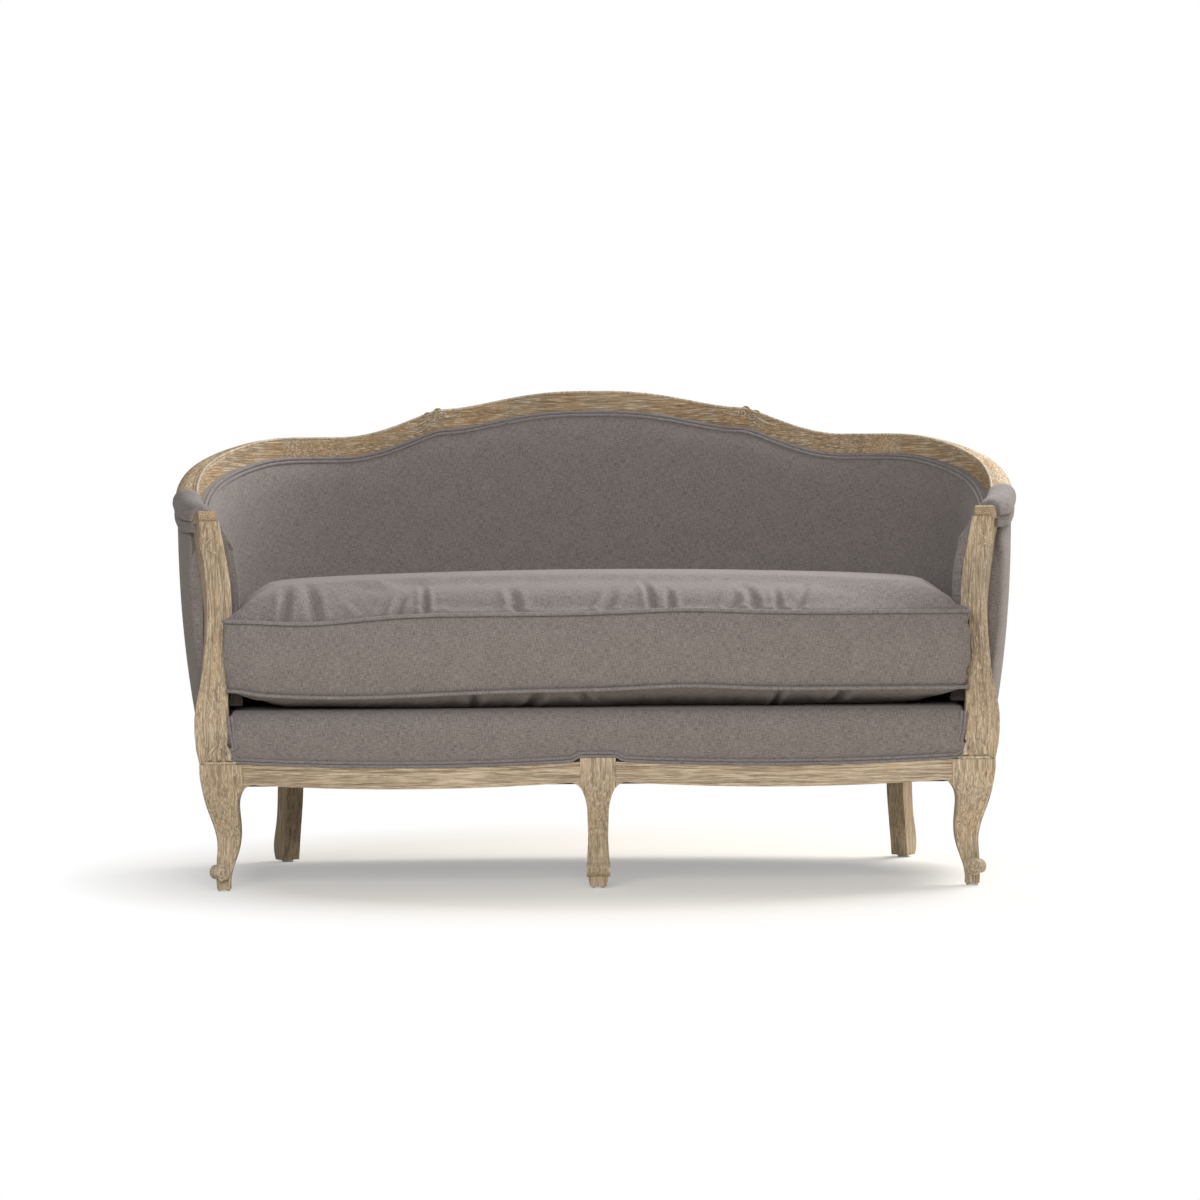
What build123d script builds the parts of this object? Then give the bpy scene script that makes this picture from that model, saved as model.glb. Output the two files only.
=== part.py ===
from build123d import *

import os
from math import asin, atan2, ceil, cos, floor, hypot, pi, sin, sqrt

# Upholstered settee: a carved show-wood frame, a padded tub back and one loose seat cushion.
# Millimetres. +X runs to the right as seen from the front, +Y to the back, +Z up.
# The origin is on the floor, in the middle of the width and of the depth.

os.makedirs("parts", exist_ok=True)

# Overall sizes
WIDTH = 1462.0
DEPTH = 677.0
SHOULDER_HEIGHT = 770.0
CREST_RISE = 82.0

# Plan of the top rail's centreline: three tangent arcs on each side
BACK_RADIUS = 3000.0
CORNER_RADIUS = 300.0
ARM_RADIUS = 680.0
WIDEST_SETBACK = 250.0
STATION_STEP = 25.0

# Top rail, its arched crest and its fall along the arms
RAIL_WIDTH = 40.0
RAIL_HEIGHT = 37.0
RAIL_TIP_HEIGHT = 22.0
RAIL_BEAD = 9.0
RAIL_QUIRK = 2.0
RAIL_OUTER_DROP = 13.0
CREST_SCROLL_X = 278.0
CREST_SCROLL_RISE = 50.0
CREST_SCROLL_RADIUS = 8.0
CREST_SHOULDER_X = 465.0
CREST_HALF_LENGTH = 585.0
ARM_FALL_SLOPE = 0.266
ARM_FALL_SETBACK = 560.0
ARM_FALL_START = 60.0
ARM_FALL_END = 80.0
ARM_FALL_END_SETBACK = 100.0
ARM_TIP_SETBACK = 4.0
ARM_TIP_OUTER = 11.0
ARM_TAPER_SETBACK = 75.0
ARM_SCROLL_RADIUS = 11.0

# Wall of the tub: offsets from the rail's centreline, outward positive
ARM_LEAN = 40.0
BACK_LEAN = 65.0
ARM_LEAN_POWER = 2.2
BACK_LEAN_POWER = 1.35
PANEL_FACE = 17.0
PANEL_THICKNESS = 4.0
FRAME_OUTER = 10.5
FRAME_INNER = -10.0
WEB_THICKNESS = 1.7
PAD_THICKNESS = 36.0
PAD_CROWN = 3.0
PAD_BOTTOM = 312.0
WELT_WIDTH = 9.0
WELT_DEPTH = 8.0
SOFT_GAP = 0.4
CURVE_GAP = 1.2

# Seat frame
SEAT_RAIL_BOTTOM = 178.0
SEAT_RAIL_TOP = 217.0
SEAT_RAIL_UPPER = 262.0
SEAT_RAIL_FACE = 20.0
SEAT_RAIL_INNER = -12.0
FRONT_RAIL_FACE = 30.0
FRONT_RAIL_THICKNESS = 30.0
FRONT_RAIL_REBATE = 13.0
FRONT_RAIL_DIP = 8.0
FRONT_RAIL_SAG = 9.0
FRONT_RAIL_LIFT = 4.0
EAR_LENGTH = 18.0
EAR_DROP = 9.0
BEAD_WIDTH = 6.0
BEAD_DEPTH = 2.5
TENON_LENGTH = 22.0
TENON_HEIGHT = 22.0
TENON_THICKNESS = 10.0
CENTRE_TENON = 12.0

# Front legs, each sawn from two faces; the profiles are (reach outward, height)
LEG_X = 636.0
KNEE_REACH = 37.0
LEG_INNER_REACH = 36.0
GLIDE_HEIGHT = 4.0
GLIDE_RADIUS = 10.0
TOE_RADIUS = 12.0
TOE_LENGTH = 30.0
TOE_HEIGHT = 32.0
TOE_REACH = 7.0
LEG_OUTER_PROFILE = [
    (37, 217), (37, 203), (32.5, 172), (25, 141), (15, 110), (10, 81), (11, 56), (12, 30), (11, 4),
]
LEG_INNER_PROFILE = [
    (-12, 4), (-16, 39), (-24, 63), (-29, 90), (-28, 124), (-28, 157), (-36, 173), (-36, 217),
]
CENTRE_LEG_BLOCK = 30.0
CENTRE_LEG_HEIGHT = 224.0
CENTRE_TOE_LENGTH = 40.0
CENTRE_LEG_HALF = [
    (30, 224), (30, 174), (22.5, 157), (18.5, 136), (17.5, 110), (17, 80), (18.5, 55), (13.5, 4),
]
CENTRE_LEG_FRONT = [
    (34, 224), (34, 205), (30, 172), (23, 141), (13, 110), (8, 81), (9, 56), (11, 30), (11, 4),
]
CENTRE_LEG_BACK = [
    (-13, 4), (-16, 39), (-22, 63), (-26, 90), (-25, 124), (-25, 157), (-30, 173), (-30, 224),
]

# Rear legs, which run up inside the back as its posts
REAR_LEG_TURN = 54.0
REAR_LEG_WIDTH = 34.0
REAR_LEG_OUTER = [(27, 4), (33, 30), (25, 66), (19, 110), (20, 178)]
REAR_LEG_INNER = [(-14, 178), (-13, 110), (-7, 66), (-2, 30), (1, 4)]
REAR_GLIDE_REACH = 14.0

# Arm posts: height, inner edge, outer edge, front and back from the front legs' line
POST_STATIONS = [
    (217, 606, 673, -30, 30),
    (245, 617, 679, -30, 26),
    (298, 625, 682, -24, 27),
    (371, 626, 671, -8, 37),
    (460, 623, 665, 4, 48),
    (530, 628, 670, 7, 52),
    (590, 639, 677, 3, 50),
    (628, 646, 680, -4, 46),
]
POST_SPANS = 16
POST_REEDS = 3
POST_TURN = -19.0
POST_DOWEL_SHIFT = 6.0
POST_DOWEL_SETBACK = 24.0
POST_REED_DEPTH = 3.0

# Frame members hidden in the upholstery
TACKING_BOTTOM = 325.0
TACKING_HEIGHT = 40.0
UPRIGHT_WIDTH = 40.0
STRETCHER_WIDTH = 44.0
STRETCHER_HEIGHT = 34.0
BLOCK_SIDE = 112.0
REAR_BLOCK_DEPTH = 48.0
BLOCK_HEIGHT = 36.0
BLOCK_BOTTOM = 196.0
DOWEL_RADIUS = 4.0
DOWEL_FLATS = 8
DOWEL_LENGTH = 44.0
DOWEL_SPACING = 18.0
SCREW_RADIUS = 2.5
SCREW_LENGTH = 55.0
SCREW_HEAD_RADIUS = 5.0
SCREW_HEAD_HEIGHT = 3.0
SCREW_HEAD_FLATS = 6

# Suspension and covers
STRAP_WIDTH = 50.0
STRAP_PITCH = 118.0
STRAP_COUNT = 9
BACK_STRAP_PITCH = 150.0
BACK_STRAP_COUNT = 6
COVER_THICKNESS = 1.0

# Deck, loose cushion and arm pads
CUSHION_BOW = 3.0
DECK_TOP = 305.0
DECK_EDGE_RADIUS = 16.0
DECK_BORDER_THICKNESS = 12.0
POST_CLEAR_DEPTH = 47.0
CUSHION_WELT_LOW = 339.0
CUSHION_WELT_HIGH = 468.0
CUSHION_FRONT = 30.0
CUSHION_HALF_FRONT = 616.0
CUSHION_EAR_LENGTH = 22.0
CUSHION_EAR_DEPTH = 13.0
CUSHION_WALL_SETBACK = 75.0
CUSHION_CLEARANCE = 3.0
CUSHION_CORNER = 7.0
CUSHION_SKIN = 1.5
CUSHION_LEVELS = [
    (306, 0.86), (312, 0.95), (322, 0.985), (339, 0.995), (403, 1.0),
    (468, 0.995), (490, 0.96), (508, 0.88), (522, 0.74), (530, 0.5),
]
ARM_PAD_PROUD = 5.0
ARM_PAD_RISE = 25.0
ARM_PAD_END_RISE = 14.0
ARM_PAD_DRAPE = 15.0
ARM_PAD_SKIRT = 32.0
ARM_PAD_FRONT = 24.0
ARM_PAD_BACK = 165.0


# Places that follow from the sizes
half_width = WIDTH / 2 - RAIL_WIDTH / 2
back_y = DEPTH / 2 - RAIL_WIDTH / 2
leg_y = -DEPTH / 2 + KNEE_REACH
widest_y = leg_y + WIDEST_SETBACK
rail_face_y = leg_y - FRONT_RAIL_FACE
deck_bottom = SEAT_RAIL_UPPER + WEB_THICKNESS + SOFT_GAP
pad_back = FRAME_INNER - WEB_THICKNESS - CURVE_GAP


def circles_meet(first, first_radius, second, second_radius):
    """The crossing of two circles that lies furthest to the right."""
    gap_x, gap_y = second[0] - first[0], second[1] - first[1]
    gap = hypot(gap_x, gap_y)
    along = (first_radius**2 - second_radius**2 + gap**2) / (2 * gap)
    across = sqrt(first_radius**2 - along**2)
    foot_x = first[0] + along * gap_x / gap
    foot_y = first[1] + along * gap_y / gap
    return max(
        (foot_x - across * gap_y / gap, foot_y + across * gap_x / gap),
        (foot_x + across * gap_y / gap, foot_y - across * gap_x / gap),
        key=lambda point: point[0],
    )


# The three arcs of the plan: centres, the angles where they meet, and lengths
back_centre = (0.0, back_y - BACK_RADIUS)
arm_centre = (half_width - ARM_RADIUS, widest_y)
corner_centre = circles_meet(
    back_centre, BACK_RADIUS - CORNER_RADIUS, arm_centre, ARM_RADIUS - CORNER_RADIUS
)
back_angle = atan2(corner_centre[1] - back_centre[1], corner_centre[0] - back_centre[0])
arm_angle = atan2(corner_centre[1] - arm_centre[1], corner_centre[0] - arm_centre[0])
back_span = BACK_RADIUS * (pi / 2 - back_angle)
corner_span = CORNER_RADIUS * (back_angle - arm_angle)


def wall_point(s):
    """Plan point and outward direction at arc length s from the middle of the back, right positive."""
    run = abs(s)
    if run <= back_span:
        centre, radius, angle = back_centre, BACK_RADIUS, pi / 2 - run / BACK_RADIUS
    elif run <= back_span + corner_span:
        centre, radius = corner_centre, CORNER_RADIUS
        angle = back_angle - (run - back_span) / CORNER_RADIUS
    else:
        centre, radius = arm_centre, ARM_RADIUS
        angle = arm_angle - (run - back_span - corner_span) / ARM_RADIUS
    side = 1 if s >= 0 else -1
    x = side * (centre[0] + radius * cos(angle))
    return (x, centre[1] + radius * sin(angle)), (side * cos(angle), sin(angle))


def arm_station(setback):
    """Arc length at which the arm's centreline lies that far behind the front legs."""
    angle = asin((leg_y + setback - arm_centre[1]) / ARM_RADIUS)
    return back_span + corner_span + ARM_RADIUS * (arm_angle - angle)


def wall_plane(s):
    """Upright plane across the wall: local x outward, local y up."""
    (x, y), (out_x, out_y) = wall_point(s)
    return Plane(origin=(x, y, 0), x_dir=(out_x, out_y, 0), z_dir=(out_y, -out_x, 0))


def face_plane(s, offset):
    """Upright plane facing outward, offset from the rail's centreline: local x along the wall, y up."""
    (x, y), (out_x, out_y) = wall_point(s)
    origin = (x + offset * out_x, y + offset * out_y, 0)
    return Plane(origin=origin, x_dir=(-out_y, out_x, 0), z_dir=(out_x, out_y, 0))


def stations(start, end):
    """Arc lengths from start to end by way of the wall's whole steps, which neighbours share."""
    steps = [STATION_STEP * i for i in range(floor(start / STATION_STEP), ceil(end / STATION_STEP) + 1)]
    margin = STATION_STEP / 4
    return [start] + [s for s in steps if start + margin < s < end - margin] + [end]


def ease(t):
    """0 to 1 with a level start and end."""
    t = min(1.0, max(0.0, t))
    return t * t * (3 - 2 * t)


def crest(x):
    """Rise of the arched crest above the shoulders."""
    x = abs(x)
    if x <= CREST_SCROLL_X:
        share = ease((x / CREST_SCROLL_X) ** 1.4)
        return CREST_RISE - (CREST_RISE - CREST_SCROLL_RISE) * share
    share = min(1.0, (x - CREST_SCROLL_X) / (CREST_SHOULDER_X - CREST_SCROLL_X))
    return CREST_SCROLL_RISE * (1 - ease(share**0.72))


def arm_fall(y):
    """Drop of the rail towards the front: level, then an even slope, then easing at the tip."""
    run = max(0.0, leg_y + ARM_FALL_SETBACK - y)
    length = run - ARM_FALL_START / 2 if run > ARM_FALL_START else run**2 / (2 * ARM_FALL_START)
    past = max(0.0, run - (ARM_FALL_SETBACK - ARM_FALL_END_SETBACK))
    return ARM_FALL_SLOPE * (length - past**2 / (2 * ARM_FALL_END))


def rail_top(s):
    (x, y), _ = wall_point(s)
    return SHOULDER_HEIGHT + crest(x) - arm_fall(y)


def rail_bottom(s):
    (_, y), _ = wall_point(s)
    share = ease((widest_y - y) / WIDEST_SETBACK)
    return rail_top(s) - RAIL_HEIGHT + (RAIL_HEIGHT - RAIL_TIP_HEIGHT) * share


def backness(s):
    """1 in the middle of the back, 0 along the arms."""
    _, (_, out_y) = wall_point(s)
    return max(0.0, out_y) ** 2


def lean(s):
    """How far the foot of the wall lies inside the top rail."""
    return ARM_LEAN + (BACK_LEAN - ARM_LEAN) * backness(s)


def shift(s, z):
    """Inward lean of the wall at height z: nearly straight in the back, bellied in the arms."""
    share = (z - SEAT_RAIL_TOP) / (rail_bottom(s) - SEAT_RAIL_TOP)
    power = ARM_LEAN_POWER + (BACK_LEAN_POWER - ARM_LEAN_POWER) * backness(s)
    return -lean(s) * (1 - min(1.0, max(0.0, share))) ** power


def leaning_arc(s, offset, low, high):
    """Arc up the wall at a fixed offset from its middle surface."""
    middle = (low + high) / 2
    return ThreePointArc(
        (shift(s, low) + offset, low),
        (shift(s, middle) + offset, middle),
        (shift(s, high) + offset, high),
    )


def wall_loft(start, end, draw):
    """Solid lofted through the outlines that draw(s) makes in the wall's upright planes."""
    with BuildPart() as piece:
        for s in stations(start, end):
            with BuildSketch(wall_plane(s)):
                with BuildLine():
                    draw(s)
                make_face()
        loft(ruled=True)
    return piece.part


def largest(piece):
    """The main solid of a piece, without the slivers that scribing leaves."""
    return piece.solids().sort_by(SortBy.VOLUME)[-1]


def save(piece, name):
    piece.part.label = name
    export_step(piece.part, f"parts/{name}.step")


def save_pair(right, name):
    """Writes a right-hand piece and its mirror image."""
    with BuildPart() as left:
        add(mirror(right.part, about=Plane.YZ, mode=Mode.PRIVATE))
    save(right, f"{name}_right")
    save(left, f"{name}_left")
    return left


# Outlines across the wall


def rail_outer(s):
    """Outer face of the top rail, which narrows to the width of the post at the arm's tip."""
    start, end = arm_station(ARM_TAPER_SETBACK), arm_station(ARM_TIP_SETBACK)
    return RAIL_WIDTH / 2 - (RAIL_WIDTH / 2 - ARM_TIP_OUTER) * ease((abs(s) - start) / (end - start))


def draw_top_rail(s):
    high, low = rail_top(s), rail_bottom(s)
    inner, outer = -RAIL_WIDTH / 2, rail_outer(s)
    quirk = inner + RAIL_BEAD
    bead = RAIL_BEAD * (1 - sqrt(0.5))
    Line((inner, low), (inner, high - RAIL_BEAD))
    ThreePointArc((inner, high - RAIL_BEAD), (inner + bead, high - bead), (quirk, high))
    Line((quirk, high), (quirk, high - RAIL_QUIRK))
    ThreePointArc(
        (quirk, high - RAIL_QUIRK),
        ((quirk + outer) / 2, high - RAIL_QUIRK / 2),
        (outer, high - RAIL_OUTER_DROP),
    )
    Line((outer, high - RAIL_OUTER_DROP), (outer, low))
    Line((outer, low), (inner, low))


def draw_inside_pad(s):
    high = rail_bottom(s) - WELT_WIDTH - CURVE_GAP
    middle = (high + PAD_BOTTOM) / 2
    face = pad_back - PAD_THICKNESS
    top_inner = (-RAIL_WIDTH / 2, high)
    bottom_inner = (shift(s, PAD_BOTTOM) + face, PAD_BOTTOM)
    ThreePointArc(top_inner, (shift(s, middle) + face - PAD_CROWN, middle), bottom_inner)
    Line(bottom_inner, (shift(s, PAD_BOTTOM) + pad_back, PAD_BOTTOM))
    leaning_arc(s, pad_back, PAD_BOTTOM, high)
    Line((shift(s, high) + pad_back, high), top_inner)


def draw_back_welt(s):
    high = rail_bottom(s) - SOFT_GAP
    low = high - WELT_WIDTH
    face = -RAIL_WIDTH / 2 - WELT_DEPTH / 4
    Polyline((face + WELT_DEPTH, low), (face, low), (face, high), (face + WELT_DEPTH, high), close=True)


def draw_outside_panel(s):
    low, high = SEAT_RAIL_TOP + SOFT_GAP, rail_bottom(s) - CURVE_GAP - SOFT_GAP
    inner = PANEL_FACE - PANEL_THICKNESS
    leaning_arc(s, PANEL_FACE, low, high)
    leaning_arc(s, inner, low, high)
    Line((shift(s, low) + inner, low), (shift(s, low) + PANEL_FACE, low))
    Line((shift(s, high) + inner, high), (shift(s, high) + PANEL_FACE, high))


def draw_seat_rail(s):
    foot = -lean(s)
    outer = foot + SEAT_RAIL_FACE
    rebate = foot + FRAME_OUTER
    inner = foot + SEAT_RAIL_INNER
    Polyline(
        (inner, SEAT_RAIL_BOTTOM),
        (outer, SEAT_RAIL_BOTTOM),
        (outer, SEAT_RAIL_TOP),
        (rebate, SEAT_RAIL_TOP),
        (rebate, SEAT_RAIL_UPPER),
        (inner, SEAT_RAIL_UPPER),
        close=True,
    )


def draw_tacking_rail(s):
    low, high = TACKING_BOTTOM, TACKING_BOTTOM + TACKING_HEIGHT
    Polyline(
        (shift(s, low) + FRAME_INNER, low),
        (shift(s, low) + FRAME_OUTER, low),
        (shift(s, high) + FRAME_OUTER, high),
        (shift(s, high) + FRAME_INNER, high),
        close=True,
    )


# Stations that divide the wall
rear_leg_s = back_span + CORNER_RADIUS * (back_angle - REAR_LEG_TURN * pi / 180)
rail_tip_s = arm_station(ARM_TIP_SETBACK)
post_back_s = arm_station(POST_CLEAR_DEPTH)


# Dowels of the top rail: two in each butt joint, and one from each arm post up into its rail
post_top = POST_STATIONS[-1]
dowel_spot = ((post_top[1] + post_top[2]) / 2 + POST_DOWEL_SHIFT, leg_y + POST_DOWEL_SETBACK)

with BuildPart() as rail_dowels:
    for s in (-CREST_HALF_LENGTH, CREST_HALF_LENGTH):
        middle = (rail_top(s) + rail_bottom(s)) / 2 - RAIL_QUIRK
        with BuildSketch(wall_plane(s).offset(-DOWEL_LENGTH / 2)):
            with Locations((-DOWEL_SPACING / 2, middle), (DOWEL_SPACING / 2, middle)):
                RegularPolygon(DOWEL_RADIUS, DOWEL_FLATS)
        extrude(amount=DOWEL_LENGTH)
save(rail_dowels, "rail_dowels")

with BuildPart() as post_dowels:
    for side in (-1, 1):
        for x, y, z in (
            (dowel_spot[0], dowel_spot[1], post_top[0] - DOWEL_LENGTH / 2),
            (LEG_X, leg_y, SEAT_RAIL_TOP),
        ):
            with BuildSketch(Plane.XY.offset(z - DOWEL_LENGTH / 2)):
                with Locations((side * x, y)):
                    RegularPolygon(DOWEL_RADIUS, DOWEL_FLATS)
            extrude(amount=DOWEL_LENGTH)
save(post_dowels, "post_dowels")

# Top rail: the crest and two arm rails, butted and dowelled behind the shoulders
with BuildPart() as crest_rail:
    add(wall_loft(-CREST_HALF_LENGTH, CREST_HALF_LENGTH, draw_top_rail))
    for side in (-1, 1):
        for curl in (-1, 1):
            s = side * (CREST_SCROLL_X + CREST_SCROLL_RADIUS * (2 + 1.15 * curl))
            sink = CREST_SCROLL_RADIUS * (0.6 + 0.1 * curl)
            with BuildSketch(face_plane(s, -RAIL_WIDTH / 2 - BEAD_DEPTH)):
                with Locations((0, rail_top(s) - sink)):
                    Circle(CREST_SCROLL_RADIUS)
            extrude(amount=RAIL_BEAD + RAIL_QUIRK + BEAD_DEPTH)
    add(rail_dowels.part, mode=Mode.SUBTRACT)
save(crest_rail, "crest_rail")

with BuildPart() as arm_rail:
    add(wall_loft(CREST_HALF_LENGTH, rail_tip_s, draw_top_rail))
    with BuildSketch(face_plane(rail_tip_s, -RAIL_WIDTH / 2)):
        with Locations((0, rail_top(rail_tip_s) - ARM_SCROLL_RADIUS)):
            Circle(ARM_SCROLL_RADIUS)
    extrude(amount=RAIL_WIDTH / 2 + ARM_TIP_OUTER)
    add(rail_dowels.part, mode=Mode.SUBTRACT)
    add(post_dowels.part, mode=Mode.SUBTRACT)
arm_rail_left = save_pair(arm_rail, "arm_rail")

# Arm posts: S-shaped, reeded in front, turning to line up with the arm rail


def post_outline(z):
    """Inner edge, outer edge, front and back of the post at height z, smooth through its stations."""
    last = len(POST_STATIONS) - 1
    index = max(i for i in range(last) if POST_STATIONS[i][0] <= z)
    before, start = POST_STATIONS[max(0, index - 1)], POST_STATIONS[index]
    end, after = POST_STATIONS[index + 1], POST_STATIONS[min(last, index + 2)]
    length = end[0] - start[0]
    t = (z - start[0]) / length
    sizes = []
    for a, b, c, d in zip(before[1:], start[1:], end[1:], after[1:]):
        slope_in = length * (c - a) / (end[0] - before[0])
        slope_out = length * (d - b) / (after[0] - start[0])
        rise = ease(t)
        sizes.append(b + (c - b) * rise + slope_in * t * (1 - t) ** 2 - slope_out * t**2 * (1 - t))
    return sizes


post_bottom, post_height = POST_STATIONS[0][0], POST_STATIONS[-1][0] - POST_STATIONS[0][0]

with BuildPart() as arm_post:
    for step in range(POST_SPANS + 1):
        share = step / POST_SPANS
        z = post_bottom + post_height * share
        turn = POST_TURN * ease(share)
        inner, outer, front, back = post_outline(z)
        middle = ((inner + outer) / 2, leg_y + (front + back) / 2)
        half_x, half_y = (outer - inner) / 2, (back - front) / 2
        with BuildSketch(Plane(origin=(middle[0], middle[1], z)).rotated((0, 0, turn))):
            with BuildLine():
                Polyline((-half_x, -half_y), (-half_x, half_y), (half_x, half_y), (half_x, -half_y))
                for reed in range(POST_REEDS):
                    start = -half_x + 2 * half_x * reed / POST_REEDS
                    end = start + 2 * half_x / POST_REEDS
                    ThreePointArc(
                        (start, -half_y),
                        ((start + end) / 2, -half_y - POST_REED_DEPTH),
                        (end, -half_y),
                    )
            make_face()
    loft(ruled=True)
    add(arm_rail.part, mode=Mode.SUBTRACT)
    add(post_dowels.part, mode=Mode.SUBTRACT)
save_pair(arm_post, "arm_post")


# Front rails: shaped above and below, with a bead along both edges


def rail_edge(lift, start=CENTRE_LEG_BLOCK):
    """Top edge of the right front rail in the front view, raised by lift, from x = start."""
    end = LEG_X - LEG_INNER_REACH
    ThreePointArc(
        (start, SEAT_RAIL_TOP + lift),
        ((start + end) / 2, SEAT_RAIL_TOP - FRONT_RAIL_DIP + lift),
        (end, SEAT_RAIL_TOP + lift),
    )


def rail_underside(lift):
    """Lower edge of the right front rail: an ear at each end and a sagging middle."""
    start, end = CENTRE_LEG_BLOCK, LEG_X - LEG_INNER_REACH
    level = SEAT_RAIL_BOTTOM + FRONT_RAIL_LIFT + lift
    bend = EAR_LENGTH * 0.35
    low, bend_level = level - EAR_DROP, level - EAR_DROP * 0.35
    ThreePointArc((start, low), (start + bend, bend_level), (start + EAR_LENGTH, level))
    ThreePointArc(
        (start + EAR_LENGTH, level), ((start + end) / 2, level - FRONT_RAIL_SAG), (end - EAR_LENGTH, level)
    )
    ThreePointArc((end - EAR_LENGTH, level), (end - bend, bend_level), (end, low))
    return low


rail_plane = Plane.XZ.offset(-rail_face_y)
rail_start, rail_end = CENTRE_LEG_BLOCK, LEG_X - LEG_INNER_REACH

with BuildPart() as front_rail:
    with BuildSketch(rail_plane):
        with BuildLine():
            rail_edge(0)
            low = rail_underside(0)
            Line((rail_start, SEAT_RAIL_TOP), (rail_start, low))
            Line((rail_end, SEAT_RAIL_TOP), (rail_end, low))
        make_face()
    extrude(amount=-FRONT_RAIL_THICKNESS)
    with BuildSketch(rail_plane.offset(-FRONT_RAIL_REBATE)):
        with Locations(((rail_start + rail_end) / 2, (SEAT_RAIL_TOP + SEAT_RAIL_UPPER) / 2 - FRONT_RAIL_DIP)):
            Rectangle(rail_end - rail_start, SEAT_RAIL_UPPER - SEAT_RAIL_TOP + 2 * FRONT_RAIL_DIP)
    extrude(amount=FRONT_RAIL_REBATE - FRONT_RAIL_THICKNESS)
    with BuildSketch(rail_plane):
        with BuildLine():
            rail_edge(0)
            rail_edge(-BEAD_WIDTH)
            Line((rail_start, SEAT_RAIL_TOP), (rail_start, SEAT_RAIL_TOP - BEAD_WIDTH))
            Line((rail_end, SEAT_RAIL_TOP), (rail_end, SEAT_RAIL_TOP - BEAD_WIDTH))
        make_face()
        with BuildLine():
            low = rail_underside(0)
            high = rail_underside(BEAD_WIDTH)
            Line((rail_start, low), (rail_start, high))
            Line((rail_end, low), (rail_end, high))
        make_face()
    extrude(amount=BEAD_DEPTH)
    tenon_z = (SEAT_RAIL_BOTTOM + SEAT_RAIL_TOP) / 2
    tenon_y = rail_face_y + FRONT_RAIL_THICKNESS / 2
    with Locations((rail_end, tenon_y, tenon_z)):
        Box(2 * TENON_LENGTH, TENON_THICKNESS, TENON_HEIGHT)
    with Locations((rail_start, tenon_y, tenon_z)):
        Box(2 * CENTRE_TENON, TENON_THICKNESS, TENON_HEIGHT)
front_rail_left = save_pair(front_rail, "front_rail")


# Legs


def draw_profile(outer, inner, place):
    """Closed outline through two (reach, height) edges, placed by place(reach), with a block on top."""
    outer = [(place(reach), z) for reach, z in outer]
    inner = [(place(reach), z) for reach, z in inner]
    Spline(outer[1:])
    Line(outer[-1], inner[0])
    Spline(inner[:-1])
    Polyline(inner[-2], inner[-1], outer[0], outer[1])


with BuildPart() as front_leg:
    with BuildSketch(Plane.XZ.offset(-leg_y)):
        with BuildLine():
            draw_profile(LEG_OUTER_PROFILE, LEG_INNER_PROFILE, lambda reach: LEG_X + reach)
        make_face()
    extrude(amount=2 * KNEE_REACH, both=True)
    with BuildSketch(Plane.YZ.offset(LEG_X)):
        with BuildLine():
            draw_profile(LEG_OUTER_PROFILE, LEG_INNER_PROFILE, lambda reach: leg_y - reach)
        make_face()
    extrude(amount=2 * KNEE_REACH, both=True, mode=Mode.INTERSECT)
    toe = TOE_REACH * sqrt(0.5)
    with Locations(Plane(origin=(LEG_X + toe, leg_y - toe, TOE_HEIGHT), x_dir=(1, -1, 0), z_dir=(1, 1, 0))):
        Cylinder(TOE_RADIUS, TOE_LENGTH)
    add(front_rail.part, mode=Mode.SUBTRACT)
    add(post_dowels.part, mode=Mode.SUBTRACT)

with BuildPart() as front_leg_centre:
    with BuildSketch(Plane.XZ.offset(-leg_y)):
        with BuildLine():
            left_edge = [(-reach, z) for reach, z in reversed(CENTRE_LEG_HALF)]
            draw_profile(CENTRE_LEG_HALF, left_edge, lambda reach: reach)
        make_face()
    extrude(amount=2 * KNEE_REACH, both=True)
    with BuildSketch(Plane.YZ):
        with BuildLine():
            draw_profile(CENTRE_LEG_FRONT, CENTRE_LEG_BACK, lambda reach: leg_y - reach)
        make_face()
    extrude(amount=2 * KNEE_REACH, both=True, mode=Mode.INTERSECT)
    with Locations(Plane(origin=(0, leg_y - TOE_REACH, TOE_HEIGHT), x_dir=(0, 1, 0), z_dir=(1, 0, 0))):
        Cylinder(TOE_RADIUS, CENTRE_TOE_LENGTH)
    add(front_rail.part, mode=Mode.SUBTRACT)
    add(front_rail_left.part, mode=Mode.SUBTRACT)
save(front_leg_centre, "front_leg_centre")

rear_foot = -lean(rear_leg_s)
with BuildPart() as rear_leg:
    with BuildSketch(wall_plane(rear_leg_s)):
        with BuildLine():
            outer = [(rear_foot + reach, z) for reach, z in REAR_LEG_OUTER]
            inner = [(rear_foot + reach, z) for reach, z in REAR_LEG_INNER]
            Spline(outer)
            Spline(inner)
            Line(inner[-1], outer[0])
            high = rail_bottom(rear_leg_s)
            Polyline(
                outer[-1],
                (outer[-1][0], SEAT_RAIL_TOP),
                (rear_foot + FRAME_OUTER, SEAT_RAIL_TOP),
            )
            leaning_arc(rear_leg_s, FRAME_OUTER, SEAT_RAIL_TOP, high)
            Line((FRAME_OUTER, high), (FRAME_INNER, high))
            leaning_arc(rear_leg_s, FRAME_INNER, SEAT_RAIL_UPPER, high)
            Polyline(
                (shift(rear_leg_s, SEAT_RAIL_UPPER) + FRAME_INNER, SEAT_RAIL_UPPER),
                (inner[0][0], SEAT_RAIL_UPPER),
                inner[0],
            )
        make_face()
    extrude(amount=REAR_LEG_WIDTH / 2, both=True)
    add(arm_rail.part, mode=Mode.SUBTRACT)
    add(crest_rail.part, mode=Mode.SUBTRACT)

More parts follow.
